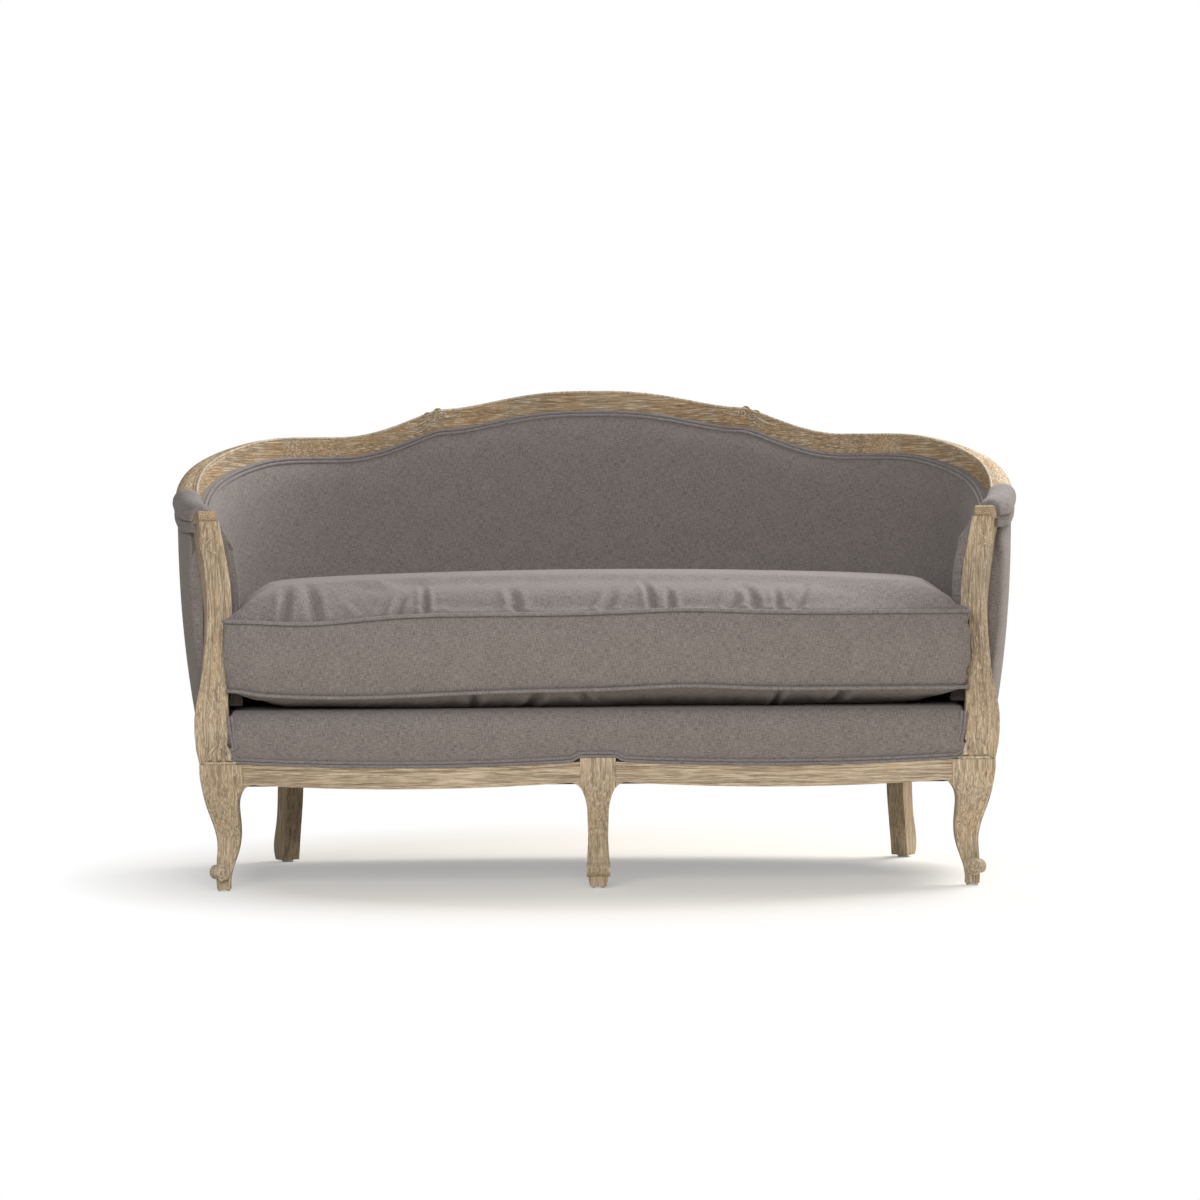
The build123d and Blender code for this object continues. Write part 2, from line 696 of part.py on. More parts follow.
# Side and back seat rails, scribed to the legs and posts
with BuildPart() as side_rail_stock:
    add(wall_loft(rear_leg_s, arm_station(0), draw_seat_rail))
    for neighbour in (front_leg, rear_leg, arm_post):
        add(neighbour.part, mode=Mode.SUBTRACT)

with BuildPart() as side_rail:
    add(largest(side_rail_stock))

with BuildPart() as back_seat_rail:
    add(wall_loft(-rear_leg_s, rear_leg_s, draw_seat_rail))
    add(rear_leg.part, mode=Mode.SUBTRACT)
    add(mirror(rear_leg.part, about=Plane.YZ, mode=Mode.PRIVATE), mode=Mode.SUBTRACT)

with BuildPart() as seat_stretcher:
    stretcher_front = leg_y + CENTRE_LEG_BLOCK
    stretcher_back = back_y - BACK_LEAN
    with Locations((0, (stretcher_front + stretcher_back) / 2, BLOCK_BOTTOM + STRETCHER_HEIGHT / 2)):
        Box(STRETCHER_WIDTH, stretcher_back - stretcher_front, STRETCHER_HEIGHT)
    add(back_seat_rail.part, mode=Mode.SUBTRACT)
save(seat_stretcher, "seat_stretcher")
save(back_seat_rail, "back_seat_rail")

# Corner blocks behind the legs, each held by one screw into its leg
block_corner = (rail_end - BLOCK_SIDE / 2, leg_y)
rear_spot, rear_out = wall_point(rear_leg_s)
rear_plan = Plane(origin=(*rear_spot, 0), x_dir=(*rear_out, 0), z_dir=(0, 0, 1))
block_face = rear_foot - REAR_BLOCK_DEPTH
screw_z = BLOCK_BOTTOM + BLOCK_HEIGHT / 3
front_screw = Plane(
    origin=(block_corner[0] + BLOCK_SIDE / 2, leg_y + BLOCK_SIDE / 2, screw_z), z_dir=(1, -1, 0)
)
rear_screw = Plane(
    origin=rear_plan.from_local_coords((block_face, 0, screw_z)), z_dir=(*rear_out, 0)
)

with BuildPart() as corner_screws:
    for place in (front_screw, rear_screw):
        with BuildSketch(place):
            RegularPolygon(SCREW_RADIUS, SCREW_HEAD_FLATS)
        extrude(amount=SCREW_LENGTH)
        with BuildSketch(place):
            RegularPolygon(SCREW_HEAD_RADIUS, SCREW_HEAD_FLATS)
        extrude(amount=-SCREW_HEAD_HEIGHT)
    mirror(about=Plane.YZ)
save(corner_screws, "corner_screws")

with BuildPart() as side_rail_right:
    add(side_rail.part)
    add(corner_screws.part, mode=Mode.SUBTRACT)
save_pair(side_rail_right, "side_rail")

with BuildPart() as front_block:
    with BuildSketch(Plane.XY.offset(BLOCK_BOTTOM)):
        with BuildLine():
            Polyline(
                block_corner,
                (block_corner[0] + BLOCK_SIDE, leg_y),
                (block_corner[0] + BLOCK_SIDE, leg_y + BLOCK_SIDE),
                close=True,
            )
        make_face()
    extrude(amount=BLOCK_HEIGHT)
    for neighbour in (front_leg, front_rail, side_rail, arm_post, corner_screws):
        add(neighbour.part, mode=Mode.SUBTRACT)

with BuildPart() as rear_block:
    with BuildSketch(rear_plan.offset(BLOCK_BOTTOM)):
        with BuildLine():
            Polyline(
                (block_face, -BLOCK_SIDE / 3),
                (block_face, BLOCK_SIDE / 3),
                (rear_foot + SEAT_RAIL_INNER / 2, BLOCK_SIDE * 0.7),
                (rear_foot + SEAT_RAIL_INNER / 2, -BLOCK_SIDE * 0.7),
                close=True,
            )
        make_face()
    extrude(amount=BLOCK_HEIGHT)
    for neighbour in (side_rail, rear_leg, back_seat_rail, corner_screws):
        add(neighbour.part, mode=Mode.SUBTRACT)

with BuildPart() as corner_blocks:
    add(largest(front_block))
    add(largest(rear_block))
    mirror(about=Plane.YZ)
save(corner_blocks, "corner_blocks")

with BuildPart() as front_leg_right:
    add(front_leg.part)
    add(corner_screws.part, mode=Mode.SUBTRACT)
front_leg_left = save_pair(front_leg_right, "front_leg")

with BuildPart() as rear_leg_right:
    add(rear_leg.part)
    add(corner_screws.part, mode=Mode.SUBTRACT)
rear_leg_left = save_pair(rear_leg_right, "rear_leg")

with BuildPart() as foot_glides:
    rear_glide = rear_plan.from_local_coords((rear_foot + REAR_GLIDE_REACH, 0, 0))
    for x, y in ((LEG_X, leg_y), (0, leg_y), (rear_glide.X, rear_glide.Y)):
        with Locations((x, y, GLIDE_HEIGHT / 2), (-x, y, GLIDE_HEIGHT / 2)):
            Cylinder(GLIDE_RADIUS, GLIDE_HEIGHT)
save(foot_glides, "foot_glides")

# Hidden rails and the upright inside the back and arms
with BuildPart() as back_tacking_rail:
    add(wall_loft(-rear_leg_s, rear_leg_s, draw_tacking_rail))
    add(rear_leg_right.part, mode=Mode.SUBTRACT)
    add(rear_leg_left.part, mode=Mode.SUBTRACT)
save(back_tacking_rail, "back_tacking_rail")

with BuildPart() as arm_tacking_stock:
    add(wall_loft(rear_leg_s, arm_station(0), draw_tacking_rail))
    add(rear_leg_right.part, mode=Mode.SUBTRACT)
    add(arm_post.part, mode=Mode.SUBTRACT)

with BuildPart() as arm_tacking_rail:
    add(largest(arm_tacking_stock))
save_pair(arm_tacking_rail, "arm_tacking_rail")

with BuildPart() as back_upright:
    low, high = TACKING_BOTTOM + TACKING_HEIGHT, rail_bottom(0)
    with BuildSketch(wall_plane(0)):
        with BuildLine():
            leaning_arc(0, FRAME_INNER, low, high)
            leaning_arc(0, FRAME_OUTER, low, high)
            Line((shift(0, low) + FRAME_INNER, low), (shift(0, low) + FRAME_OUTER, low))
            Line((shift(0, high) + FRAME_INNER, high), (shift(0, high) + FRAME_OUTER, high))
        make_face()
    extrude(amount=UPRIGHT_WIDTH / 2, both=True)
    add(crest_rail.part, mode=Mode.SUBTRACT)
save(back_upright, "back_upright")

# Webbing: straps across the seat frame and up the back


def seat_back(x):
    """How far back the middle of the seat rail lies at that distance from the centre."""
    near, far = 0.0, arm_station(WIDEST_SETBACK)
    for _ in range(40):
        s = (near + far) / 2
        (wall_x, wall_y), (out_x, out_y) = wall_point(s)
        if wall_x - lean(s) * out_x < x:
            near = s
        else:
            far = s
    return wall_y - lean(s) * out_y


with BuildPart() as seat_webbing:
    strap_front = rail_face_y + FRONT_RAIL_REBATE
    for index in range(STRAP_COUNT):
        x = STRAP_PITCH * (index - (STRAP_COUNT - 1) / 2)
        reach = seat_back(abs(x) + STRAP_WIDTH / 2)
        with Locations((x, (strap_front + reach) / 2, SEAT_RAIL_UPPER + WEB_THICKNESS / 2)):
            Box(STRAP_WIDTH, reach - strap_front, WEB_THICKNESS)
save(seat_webbing, "seat_webbing")

with BuildPart() as back_webbing:
    for index in range(BACK_STRAP_COUNT):
        s = BACK_STRAP_PITCH * (index - (BACK_STRAP_COUNT - 1) / 2)
        low, high = TACKING_BOTTOM, rail_bottom(s) - SOFT_GAP
        with BuildSketch(wall_plane(s)):
            with BuildLine():
                leaning_arc(s, FRAME_INNER, low, high)
                leaning_arc(s, FRAME_INNER - WEB_THICKNESS, low, high)
                for z in (low, high):
                    root = shift(s, z) + FRAME_INNER
                    Line((root, z), (root - WEB_THICKNESS, z))
            make_face()
        extrude(amount=STRAP_WIDTH / 2, both=True)
    add(crest_rail.part, mode=Mode.SUBTRACT)
    add(back_tacking_rail.part, mode=Mode.SUBTRACT)
save(back_webbing, "back_webbing")


# Deck, covers and cushions


def seat_plan(inset, end, front_half, front, bow=0.0):
    """Plan points: along the wall at inset(s) from end to -end, then left, middle and right in front."""
    corner_end = back_span + corner_span
    right = [end, (end + corner_end) / 2, corner_end, back_span + corner_span / 2, back_span]
    points = []
    for s in right + [0.0] + [-s for s in reversed(right)]:
        (x, y), (out_x, out_y) = wall_point(s)
        points.append((x + inset(s) * out_x, y + inset(s) * out_y))
    return points + [(-front_half, front), (0, front - bow), (front_half, front)]


def draw_plan(points):
    """Closed outline: arcs along the wall, straight sides and a front edge, bowed or straight."""
    wall, (left, middle, right) = points[:-3], points[-3:]
    for index in range(0, len(wall) - 1, 2):
        ThreePointArc(wall[index], wall[index + 1], wall[index + 2])
    Line(wall[-1], left)
    if middle[1] < left[1]:
        ThreePointArc(left, middle, right)
    else:
        Line(left, right)
    Line(right, wall[0])


def front_border(lift):
    """Right half of the deck's front border, its lower edge lifted clear of the rail and the centre leg."""
    side = CENTRE_LEG_BLOCK + lift
    end = LEG_X - LEG_INNER_REACH
    rail_edge(lift, side)
    Polyline(
        (side, SEAT_RAIL_TOP + lift),
        (side, CENTRE_LEG_HEIGHT + lift),
        (0, CENTRE_LEG_HEIGHT + lift),
        (0, deck_bottom + DECK_BORDER_THICKNESS),
        (end, deck_bottom + DECK_BORDER_THICKNESS),
        (end, SEAT_RAIL_TOP + lift),
    )


with BuildPart() as deck_welt:
    with BuildSketch(rail_plane.offset(BEAD_DEPTH)):
        with BuildLine():
            front_border(SOFT_GAP)
        make_face()
        with BuildLine():
            front_border(WELT_WIDTH)
        make_face(mode=Mode.SUBTRACT)
    extrude(amount=-WELT_DEPTH)
    mirror(about=Plane.YZ)
save(deck_welt, "deck_welt")

with BuildPart() as seat_deck:
    with BuildSketch(Plane.XY.offset(deck_bottom)):
        with BuildLine():
            draw_plan(seat_plan(lambda s: SEAT_RAIL_INNER - lean(s), post_back_s, rail_end, rail_face_y))
        make_face()
    extrude(amount=DECK_TOP - deck_bottom)
    with BuildSketch(rail_plane):
        with BuildLine():
            front_border(WELT_WIDTH + SOFT_GAP)
        make_face()
        mirror(about=Plane.YZ)
    extrude(amount=-DECK_BORDER_THICKNESS)
    front_edge = seat_deck.edges().group_by(Axis.Z)[-1].sort_by(Axis.Y)[0]
    fillet(front_edge, DECK_EDGE_RADIUS)
save(seat_deck, "seat_deck")

with BuildPart() as dust_cover:
    with BuildSketch(Plane.XY.offset(SEAT_RAIL_BOTTOM - COVER_THICKNESS)):
        with BuildLine():
            draw_plan(seat_plan(lambda s: -lean(s), post_back_s, rail_end, leg_y + COVER_THICKNESS))
        make_face()
    extrude(amount=COVER_THICKNESS)
    for neighbour in (front_leg_centre, front_leg_right, front_leg_left, rear_leg_right, rear_leg_left):
        add(neighbour.part, mode=Mode.SUBTRACT)
save(dust_cover, "dust_cover")

with BuildPart() as inside_back_pad:
    add(wall_loft(-rear_leg_s, rear_leg_s, draw_inside_pad))
save(inside_back_pad, "inside_back_pad")

with BuildPart() as inside_arm_pad:
    add(wall_loft(rear_leg_s, post_back_s, draw_inside_pad))
save_pair(inside_arm_pad, "inside_arm_pad")

with BuildPart() as back_welt:
    add(wall_loft(-post_back_s, post_back_s, draw_back_welt))
save(back_welt, "back_welt")

with BuildPart() as outside_back_panel:
    add(wall_loft(-rear_leg_s, rear_leg_s, draw_outside_panel))
save(outside_back_panel, "outside_back_panel")

with BuildPart() as outside_arm_panel:
    add(wall_loft(rear_leg_s, post_back_s, draw_outside_panel))
save_pair(outside_arm_panel, "outside_arm_panel")

# Arm pads: domed along and across, each with a skirt down the outside of its rail
pad_ends = []
for setback in (ARM_PAD_BACK, ARM_PAD_FRONT):
    s = arm_station(setback)
    (x, y), _ = wall_point(s)
    pad_ends.append(Vector(x, y, rail_top(s)))
pad_run = pad_ends[1] - pad_ends[0]
_, (pad_out_x, pad_out_y) = wall_point(arm_station((ARM_PAD_BACK + ARM_PAD_FRONT) / 2))
pad_middle = (pad_ends[0] + pad_ends[1]) / 2
pad_across = Plane(origin=pad_middle, x_dir=(pad_out_x, pad_out_y, 0), z_dir=pad_run)
pad_along = Plane(origin=pad_middle, x_dir=pad_run, z_dir=(pad_out_x, pad_out_y, 0))

with BuildPart() as arm_pad:
    half = RAIL_WIDTH / 2 + ARM_PAD_PROUD
    with BuildSketch(pad_across):
        with BuildLine():
            ThreePointArc((-half, -ARM_PAD_DRAPE), (0, ARM_PAD_RISE), (half, -ARM_PAD_DRAPE))
            Polyline(
                (half, -ARM_PAD_DRAPE),
                (half, -ARM_PAD_SKIRT),
                (half - ARM_PAD_PROUD / 2, -ARM_PAD_SKIRT),
                (half - ARM_PAD_PROUD / 2, -ARM_PAD_DRAPE),
                (-half, -ARM_PAD_DRAPE),
            )
        make_face()
    extrude(amount=pad_run.length / 2, both=True)
    with BuildSketch(pad_along):
        with BuildLine():
            end, rise = pad_run.length / 2, ARM_PAD_END_RISE
            ThreePointArc((-end, rise), (0, ARM_PAD_RISE), (end, rise))
            Polyline((end, rise), (end, -ARM_PAD_SKIRT), (-end, -ARM_PAD_SKIRT), (-end, rise))
        make_face()
    extrude(amount=2 * half, both=True, mode=Mode.INTERSECT)
    add(arm_rail.part, mode=Mode.SUBTRACT)
save_pair(arm_pad, "arm_pad")


def cushion_side(s):
    return shift(s, PAD_BOTTOM) + pad_back - PAD_THICKNESS - PAD_CROWN - CUSHION_CLEARANCE


cushion_front = leg_y - CUSHION_FRONT
cushion_middle = (cushion_front + back_y + cushion_side(0)) / 2
cushion_plan = seat_plan(
    cushion_side, arm_station(CUSHION_WALL_SETBACK), CUSHION_HALF_FRONT, cushion_front, CUSHION_BOW
)


def cushion_body(skin):
    """Crowned cushion, drawn in by about skin on every side."""
    with BuildPart() as body:
        for z, share in CUSHION_LEVELS:
            lift = skin if z < CUSHION_WELT_LOW else -skin if z > CUSHION_WELT_HIGH else 0
            scale = share - skin / (cushion_middle - cushion_front)
            outline = [(x * scale, cushion_middle + (y - cushion_middle) * scale) for x, y in cushion_plan]
            with BuildSketch(Plane.XY.offset(z + lift)):
                with BuildLine():
                    draw_plan(outline)
                make_face()
        loft(ruled=True)
    return body.part


with BuildPart() as seat_cushion_core:
    add(cushion_body(CUSHION_SKIN + SOFT_GAP))
save(seat_cushion_core, "seat_cushion_core")

with BuildPart() as seat_cushion_cover:
    add(cushion_body(0))
    with BuildSketch(Plane.XZ.offset(-cushion_front)):
        with Locations((CUSHION_HALF_FRONT, (CUSHION_WELT_LOW + CUSHION_WELT_HIGH) / 2)):
            RectangleRounded(2 * CUSHION_EAR_LENGTH, CUSHION_WELT_HIGH - CUSHION_WELT_LOW, CUSHION_CORNER)
        mirror(about=Plane.YZ)
    extrude(amount=-CUSHION_EAR_DEPTH)
    add(cushion_body(CUSHION_SKIN), mode=Mode.SUBTRACT)
save(seat_cushion_cover, "seat_cushion_cover")
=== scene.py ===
"""Dresses the settee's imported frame: limed oak, linen covers, corded welts and the loose seat cushion.

Metres, in the frame of the solids: +X to the right from the front, +Y to the back, +Z up, floor at 0.
"""

from math import asin, atan2, cos, exp, pi, radians, sin, sqrt

import bmesh
import bpy
from mathutils import Matrix, Vector, noise
from mathutils.kdtree import KDTree


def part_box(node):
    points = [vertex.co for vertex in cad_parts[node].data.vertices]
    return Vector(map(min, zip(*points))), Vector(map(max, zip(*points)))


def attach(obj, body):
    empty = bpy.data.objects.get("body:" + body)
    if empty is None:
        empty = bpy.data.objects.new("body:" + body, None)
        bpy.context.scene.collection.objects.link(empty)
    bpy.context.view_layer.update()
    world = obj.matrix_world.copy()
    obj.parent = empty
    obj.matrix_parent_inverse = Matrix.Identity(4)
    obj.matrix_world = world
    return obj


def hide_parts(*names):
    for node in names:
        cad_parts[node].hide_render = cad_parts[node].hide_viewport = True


bl_info = {
    "name": "Settee upholstery",
    "version": (1, 0, 0),
    "blender": (4, 5, 0),
    "location": "View3D > Sidebar > Settee",
    "description": "Finishes the wood, covers and cushion of a two-seat settee",
    "category": "Object",
}

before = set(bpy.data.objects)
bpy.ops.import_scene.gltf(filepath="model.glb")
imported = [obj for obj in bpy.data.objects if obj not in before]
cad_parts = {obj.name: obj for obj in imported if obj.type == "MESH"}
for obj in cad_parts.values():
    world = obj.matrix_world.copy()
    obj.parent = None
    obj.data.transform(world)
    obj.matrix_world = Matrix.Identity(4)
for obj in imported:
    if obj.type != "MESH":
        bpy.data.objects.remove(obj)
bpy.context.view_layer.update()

# The tub's plan, heights and wall, as the solids have them
HALF_WIDTH = 0.711
BACK_LINE = 0.3185
LEG_LINE = -0.3015
WIDEST_SETBACK = 0.25
BACK_RADIUS = 3.0
CORNER_RADIUS = 0.3
ARM_RADIUS = 0.68
RAIL_WIDTH = 0.04
RAIL_HEIGHT = 0.037
RAIL_TIP_HEIGHT = 0.022
SHOULDER_HEIGHT = 0.77
CREST_RISE = 0.082
CREST_SCROLL_X = 0.278
CREST_SCROLL_RISE = 0.05
CREST_POWER = 1.4
SHOULDER_POWER = 0.72
CREST_SHOULDER_X = 0.465
ARM_FALL_SLOPE = 0.266
ARM_FALL_SETBACK = 0.56
ARM_FALL_START = 0.06
ARM_FALL_END = 0.08
ARM_FALL_END_SETBACK = 0.1
SEAT_RAIL_TOP = 0.217
ARM_LEAN = 0.04
BACK_LEAN = 0.065
ARM_LEAN_POWER = 2.2
BACK_LEAN_POWER = 1.35
ARM_TIP_OUTER = 0.011
ARM_TIP_SETBACK = 0.004
ARM_TAPER_SETBACK = 0.075
PANEL_FACE = 0.017
PAD_BACK = -0.0129
PAD_BOTTOM = 0.312
REAR_LEG_TURN = radians(54)
POST_BACK_SETBACK = 0.047
RAIL_END_X = 0.6
CENTRE_BLOCK = 0.03
CENTRE_LEG_HEIGHT = 0.224
FRONT_RAIL_DIP = 0.008
RAIL_FACE_LINE = LEG_LINE - 0.03
DECK_BOTTOM = 0.2641
DECK_TOP = 0.305
CUSHION_FRONT_LINE = LEG_LINE - 0.03
CUSHION_BOTTOM = 0.306
CUSHION_EAR_X = 0.638
CUSHION_SIDE_X = 0.617
CUSHION_WALL_SETBACK = 0.075

# Steps between rows along the wall, the covers, the arm pads, the deck, its welt and the cushion
WALL_STEP = 0.01
COVER_STEP = 0.015
ARM_PAD_STEP = 0.004
DECK_STEP = 0.012
DECK_WELT_STEP = 0.006
CUSHION_STEP = 0.008

# Angles from which edges stay sharp on new meshes and on solids, and the reach that joins a solid's faces
MESH_EDGE = radians(55)
SOLID_EDGE = radians(32)
WELD_REACH = 0.00015

# Share of an outline at which rows that run to its middle end
INNER_SHARE = 0.02

# How far covers lap behind the posts, and the run over which they reach them
POST_LAP = 0.003
POST_RUN = 0.06

# Where the padding tucks under the rail, how it fills out before the posts, and its slight ripple
PAD_LIP = 0.0205
PAD_TUCK = 0.002
PAD_ROLL = 0.07
ARM_FRONT_DEPTH = 0.0515
ARM_FRONT_LEVEL = 0.5
ARM_FRONT_RUN = 0.12
RIPPLE_RATE = 6
RIPPLE_HEIGHT = 0.001

# The outside covers: back, play at the wood, seams drawn in, and the roll to the posts
COVER_BACK = -0.008
COVER_PLAY = 0.0005
COVER_END = 0.03
SEAM_DEPTH = 0.0025
SEAM_WIDTH = 0.004
HEM_DEPTH = 0.002
HEM_WIDTH = 0.006
COVER_ROLL = 0.006

# The arm pads: ends by setback, overhang of the rail, and the folded band below
ARM_PAD_ENDS = (0.165, 0.022)
ARM_PAD_INSIDE = 0.0035
ARM_PAD_OUTSIDE = 0.006
ARM_PAD_SEAT = 0.016
ARM_PAD_BODY = 0.017
ARM_PAD_TUCK = 0.002
DOME_POINTS = 32
DOME_POWER = 0.72
PAD_END_POWER = 3.6
PAD_SWELL_POWER = 0.45
BAND_HEAD = 0.015
BAND_LAP = 0.014
BAND_BACK = -0.004
BAND_STAND = 0.001
BAND_SWELL = 0.0022
BAND_FOLD = 0.001

# The deck: its slab behind the padding, and its border on the front rail
SLAB_GAP = 0.012
BORDER_GAP = 0.0005
BORDER_FOOT = 0.003
BORDER_BACK = 0.0118
BORDER_DEPTH = 0.05
BORDER_ROLL = 0.02
BORDER_ROLL_START = 0.7
BORDER_LIFT = 0.0008
BORDER_FOLD = 0.006
BORDER_CORNER_DROP = 0.011
BORDER_CORNER_START = 0.985
BORDER_CORNER_RUN = 0.015
HUMP_RUN = 0.016

# The deck's slab, layer by layer: height, and share of its outline
DECK_LAYERS = (
    (DECK_BOTTOM, INNER_SHARE), (DECK_BOTTOM, 1.0), (DECK_TOP - 0.012, 1.0), (DECK_TOP - 0.004, 0.985),
    (DECK_TOP, 0.95), (DECK_TOP, 0.5), (DECK_TOP, INNER_SHARE),
)

# The cushion: its ears, seams, firmness, simulation and creases
CUSHION_MIDDLE = (0, -0.06)
CUSHION_WELT_STAND = 0.0045
EAR_REACH = 0.035
EAR_DEPTH = 0.0125
EAR_NECK = ((0.004, 0.0135), (0.0, 0.02))
WALL_GAP = 0.0555
FRONT_BOW = 0.003
ENDS_START = 0.56
ENDS_RUN = 0.07
FRONT_SIDE = -0.3
CREASED_PART = -0.22
CREASED_RUN = 0.08
LOW_SEAM_PULL = 0.011
TOP_SEAM_PULL = 0.006
LOW_SOFTNESS = 0.05
TOP_SOFTNESS = 0.034
PANEL_ROWS = 26
PANEL_POWER = 1.6
CROWN_FALL = 0.25
CROWN_HALF = 0.6
FIRMER_ENDS = 0.3
FIRMER_START = 0.45
FIRMER_RUN = 0.15
VOXEL = 0.007
MOST_SWELL = 0.008
MOST_SIDE_SWELL = 0.002
SEAM_GRIP = 0.006
SIDE_MARGIN = 0.004
FRONT_MARGIN = 0.006
PANEL_MARGIN = 0.001
SIMULATED_FRAMES = 20
CREASE_DEPTH = 0.0064
CREASE_LENGTH = 0.105
CREASE_WIDTH = 0.0072
CREASE_LENGTH_VARIES = 0.03
CREASE_WIDTH_VARIES = 0.002
CREASE_LEAN = 0.25
CREASE_START = 0.008
RIDGE_SHARE = 0.45
CLOTH_SETTINGS = {
    "quality": 4, "mass": 0.3, "tension_stiffness": 12, "compression_stiffness": 12, "shear_stiffness": 4,
    "bending_stiffness": 0.3, "use_pressure": True, "uniform_pressure_force": 4, "shrink_min": -0.01,
    "vertex_group_mass": "seams",
}

# The welts: how they seat on the padding, the posts and the deck's border; the first two in radii
BACK_WELT_STAND = 0.4
DECK_WELT_STAND = 0.8
POST_WELT_GAP = 0.001
PIPING_GAP = 0.0005
PIPING_SINK = 0.001
POST_WELT_DROP = 0.045
WELT_END = 0.004
DECK_WELT_CORNER = 0.014
DECK_WELT_LIFT = 0.0026
DECK_WELT_DROP = 0.006
DUST_SAG = 0.007

# Carving on the rail, the posts, the legs and the feet, in radii and in places by x and z
BEAD_SETBACK = 0.17
BEAD_INSET = 0.003
BEAD_DROP = 0.0015
BEAD_RADIUS = 0.0026
STROKE_STAND = 0.45
CREST_VOLUTES = ((0.277, 0.8105), (0.295, 0.804))
CREST_VOLUTE_REACH = 0.009
CREST_VOLUTE_RADIUS = 0.0018
CREST_STROKE_TIP = 0.0008
REED_SHARES = (0.3, 0.7)
REED_ENDS = (0.245, 0.6)
REED_RADIUS = 0.0019
LEAF_RADIUS = 0.0048
FINE_TIP = 0.0012
LEDGE_ENDS = (0.611, 0.664)
LEDGE_HEIGHT = 0.2195
LEDGE_RADIUS = 0.003
LEG_BEAD_TOP = 0.165
LEG_BEAD_INSET = 0.0035
LEG_BEADS = ((1, LEG_BEAD_INSET, 0.055, 24), (2, -LEG_BEAD_INSET, 0.07, 20))
TOE = (0.634, 0.034)
FOOT_VOLUTE = (0.638, 0.0335)
FOOT_VOLUTE_RADIUS = 0.0145
FOOT_VOLUTE_REACH = 0.0135
BOSS_STAND = 0.003
VOLUTE_STAND = 0.0028

# Volutes by turns, starting angle and way; points to a turn, and how much they shrink
CREST_VOLUTE_TURN = (1.6, 0.5, 1)
FOOT_VOLUTE_TURN = (1.7, -1.2, -1)
VOLUTE_POINTS = 16
VOLUTE_SHRINK = 0.8

# The boss on a foot, ring by ring: share of its radius, and depth
BOSS_SIDES = 24
BOSS_RINGS = ((0.25, 0.0), (0.7, 0.0008), (0.93, 0.0025), (1.0, 0.006), (1.0, 0.018))

# Carved strokes on the right half, each as start, bend and end by x and z
CREST_STROKES = (
    ((0.303, 0.801), (0.322, 0.788), (0.342, 0.786)),
    ((0.297, 0.795), (0.308, 0.779), (0.333, 0.775)),
    ((0.270, 0.806), (0.256, 0.806), (0.240, 0.813)),
)
LEAF_STROKES = (
    ((0.656, 0.225), (0.657, 0.241), (0.641, 0.252)),
    ((0.639, 0.225), (0.641, 0.243), (0.634, 0.264)),
    ((0.623, 0.225), (0.620, 0.240), (0.629, 0.252)),
)

# Creases along the cushion's front seam, by distance from the middle
TOP_CREASES = (-0.528, -0.473, -0.341, -0.289, -0.134, 0.013, 0.095, 0.127, 0.223, 0.27, 0.308, 0.337)
LOW_CREASES = (-0.208, -0.098, -0.029, 0.31, 0.42)

# Waves of the cushion's front seams, each as rise, middle and width
TOP_WAVES = ((-0.014, -0.5, 0.13), (0.006, 0.15, 0.12), (-0.004, -0.64, 0.05))
LOW_WAVES = ((-0.010, -0.42, 0.2), (0.006, 0.15, 0.1), (0.006, -0.63, 0.05))

# Solids by the way their grain runs, and how much the grain is drawn out along it
GRAIN = 0.035
WOOD_ALONG_X = ("front_rail_left", "front_rail_right", "back_seat_rail")
WOOD_ALONG_Y = ("arm_rail_left", "arm_rail_right", "side_rail_left", "side_rail_right")
WOOD_UPRIGHT = (
    "arm_post_left", "arm_post_right", "front_leg_left", "front_leg_centre", "front_leg_right",
    "rear_leg_left", "rear_leg_right",
)
HIDDEN_WOOD = (
    "seat_stretcher", "corner_blocks", "rail_dowels", "post_dowels", "back_tacking_rail",
    "arm_tacking_rail_left", "arm_tacking_rail_right", "back_upright",
)


# The wall's curve, worked out as the solids do it


def circles_meet(first, first_radius, second, second_radius):
    """The crossing of two circles that lies furthest to the right."""
    gap = Vector(second) - Vector(first)
    along = (first_radius**2 - second_radius**2 + gap.length_squared) / (2 * gap.length)
    across = sqrt(first_radius**2 - along**2)
    foot = Vector(first) + gap.normalized() * along
    side = Vector((-gap.y, gap.x)).normalized() * across
    return max(foot + side, foot - side, key=lambda point: point.x)


back_centre = Vector((0, BACK_LINE - BACK_RADIUS))
arm_centre = Vector((HALF_WIDTH - ARM_RADIUS, LEG_LINE + WIDEST_SETBACK))
corner_centre = circles_meet(
    back_centre, BACK_RADIUS - CORNER_RADIUS, arm_centre, ARM_RADIUS - CORNER_RADIUS
)
back_angle = atan2(corner_centre.y - back_centre.y, corner_centre.x - back_centre.x)
arm_angle = atan2(corner_centre.y - arm_centre.y, corner_centre.x - arm_centre.x)
back_span = BACK_RADIUS * (pi / 2 - back_angle)
corner_span = CORNER_RADIUS * (back_angle - arm_angle)


def wall_point(s):
    """Plan point and outward direction at arc length s from the middle of the back, right positive."""
    run = abs(s)
    if run <= back_span:
        centre, radius, angle = back_centre, BACK_RADIUS, pi / 2 - run / BACK_RADIUS
    elif run <= back_span + corner_span:
        centre, radius = corner_centre, CORNER_RADIUS
        angle = back_angle - (run - back_span) / CORNER_RADIUS
    else:
        centre, radius = arm_centre, ARM_RADIUS
        angle = arm_angle - (run - back_span - corner_span) / ARM_RADIUS
    side = 1 if s >= 0 else -1
    out = Vector((side * cos(angle), sin(angle)))
    return Vector((side * (centre.x + radius * cos(angle)), centre.y + radius * sin(angle))), out


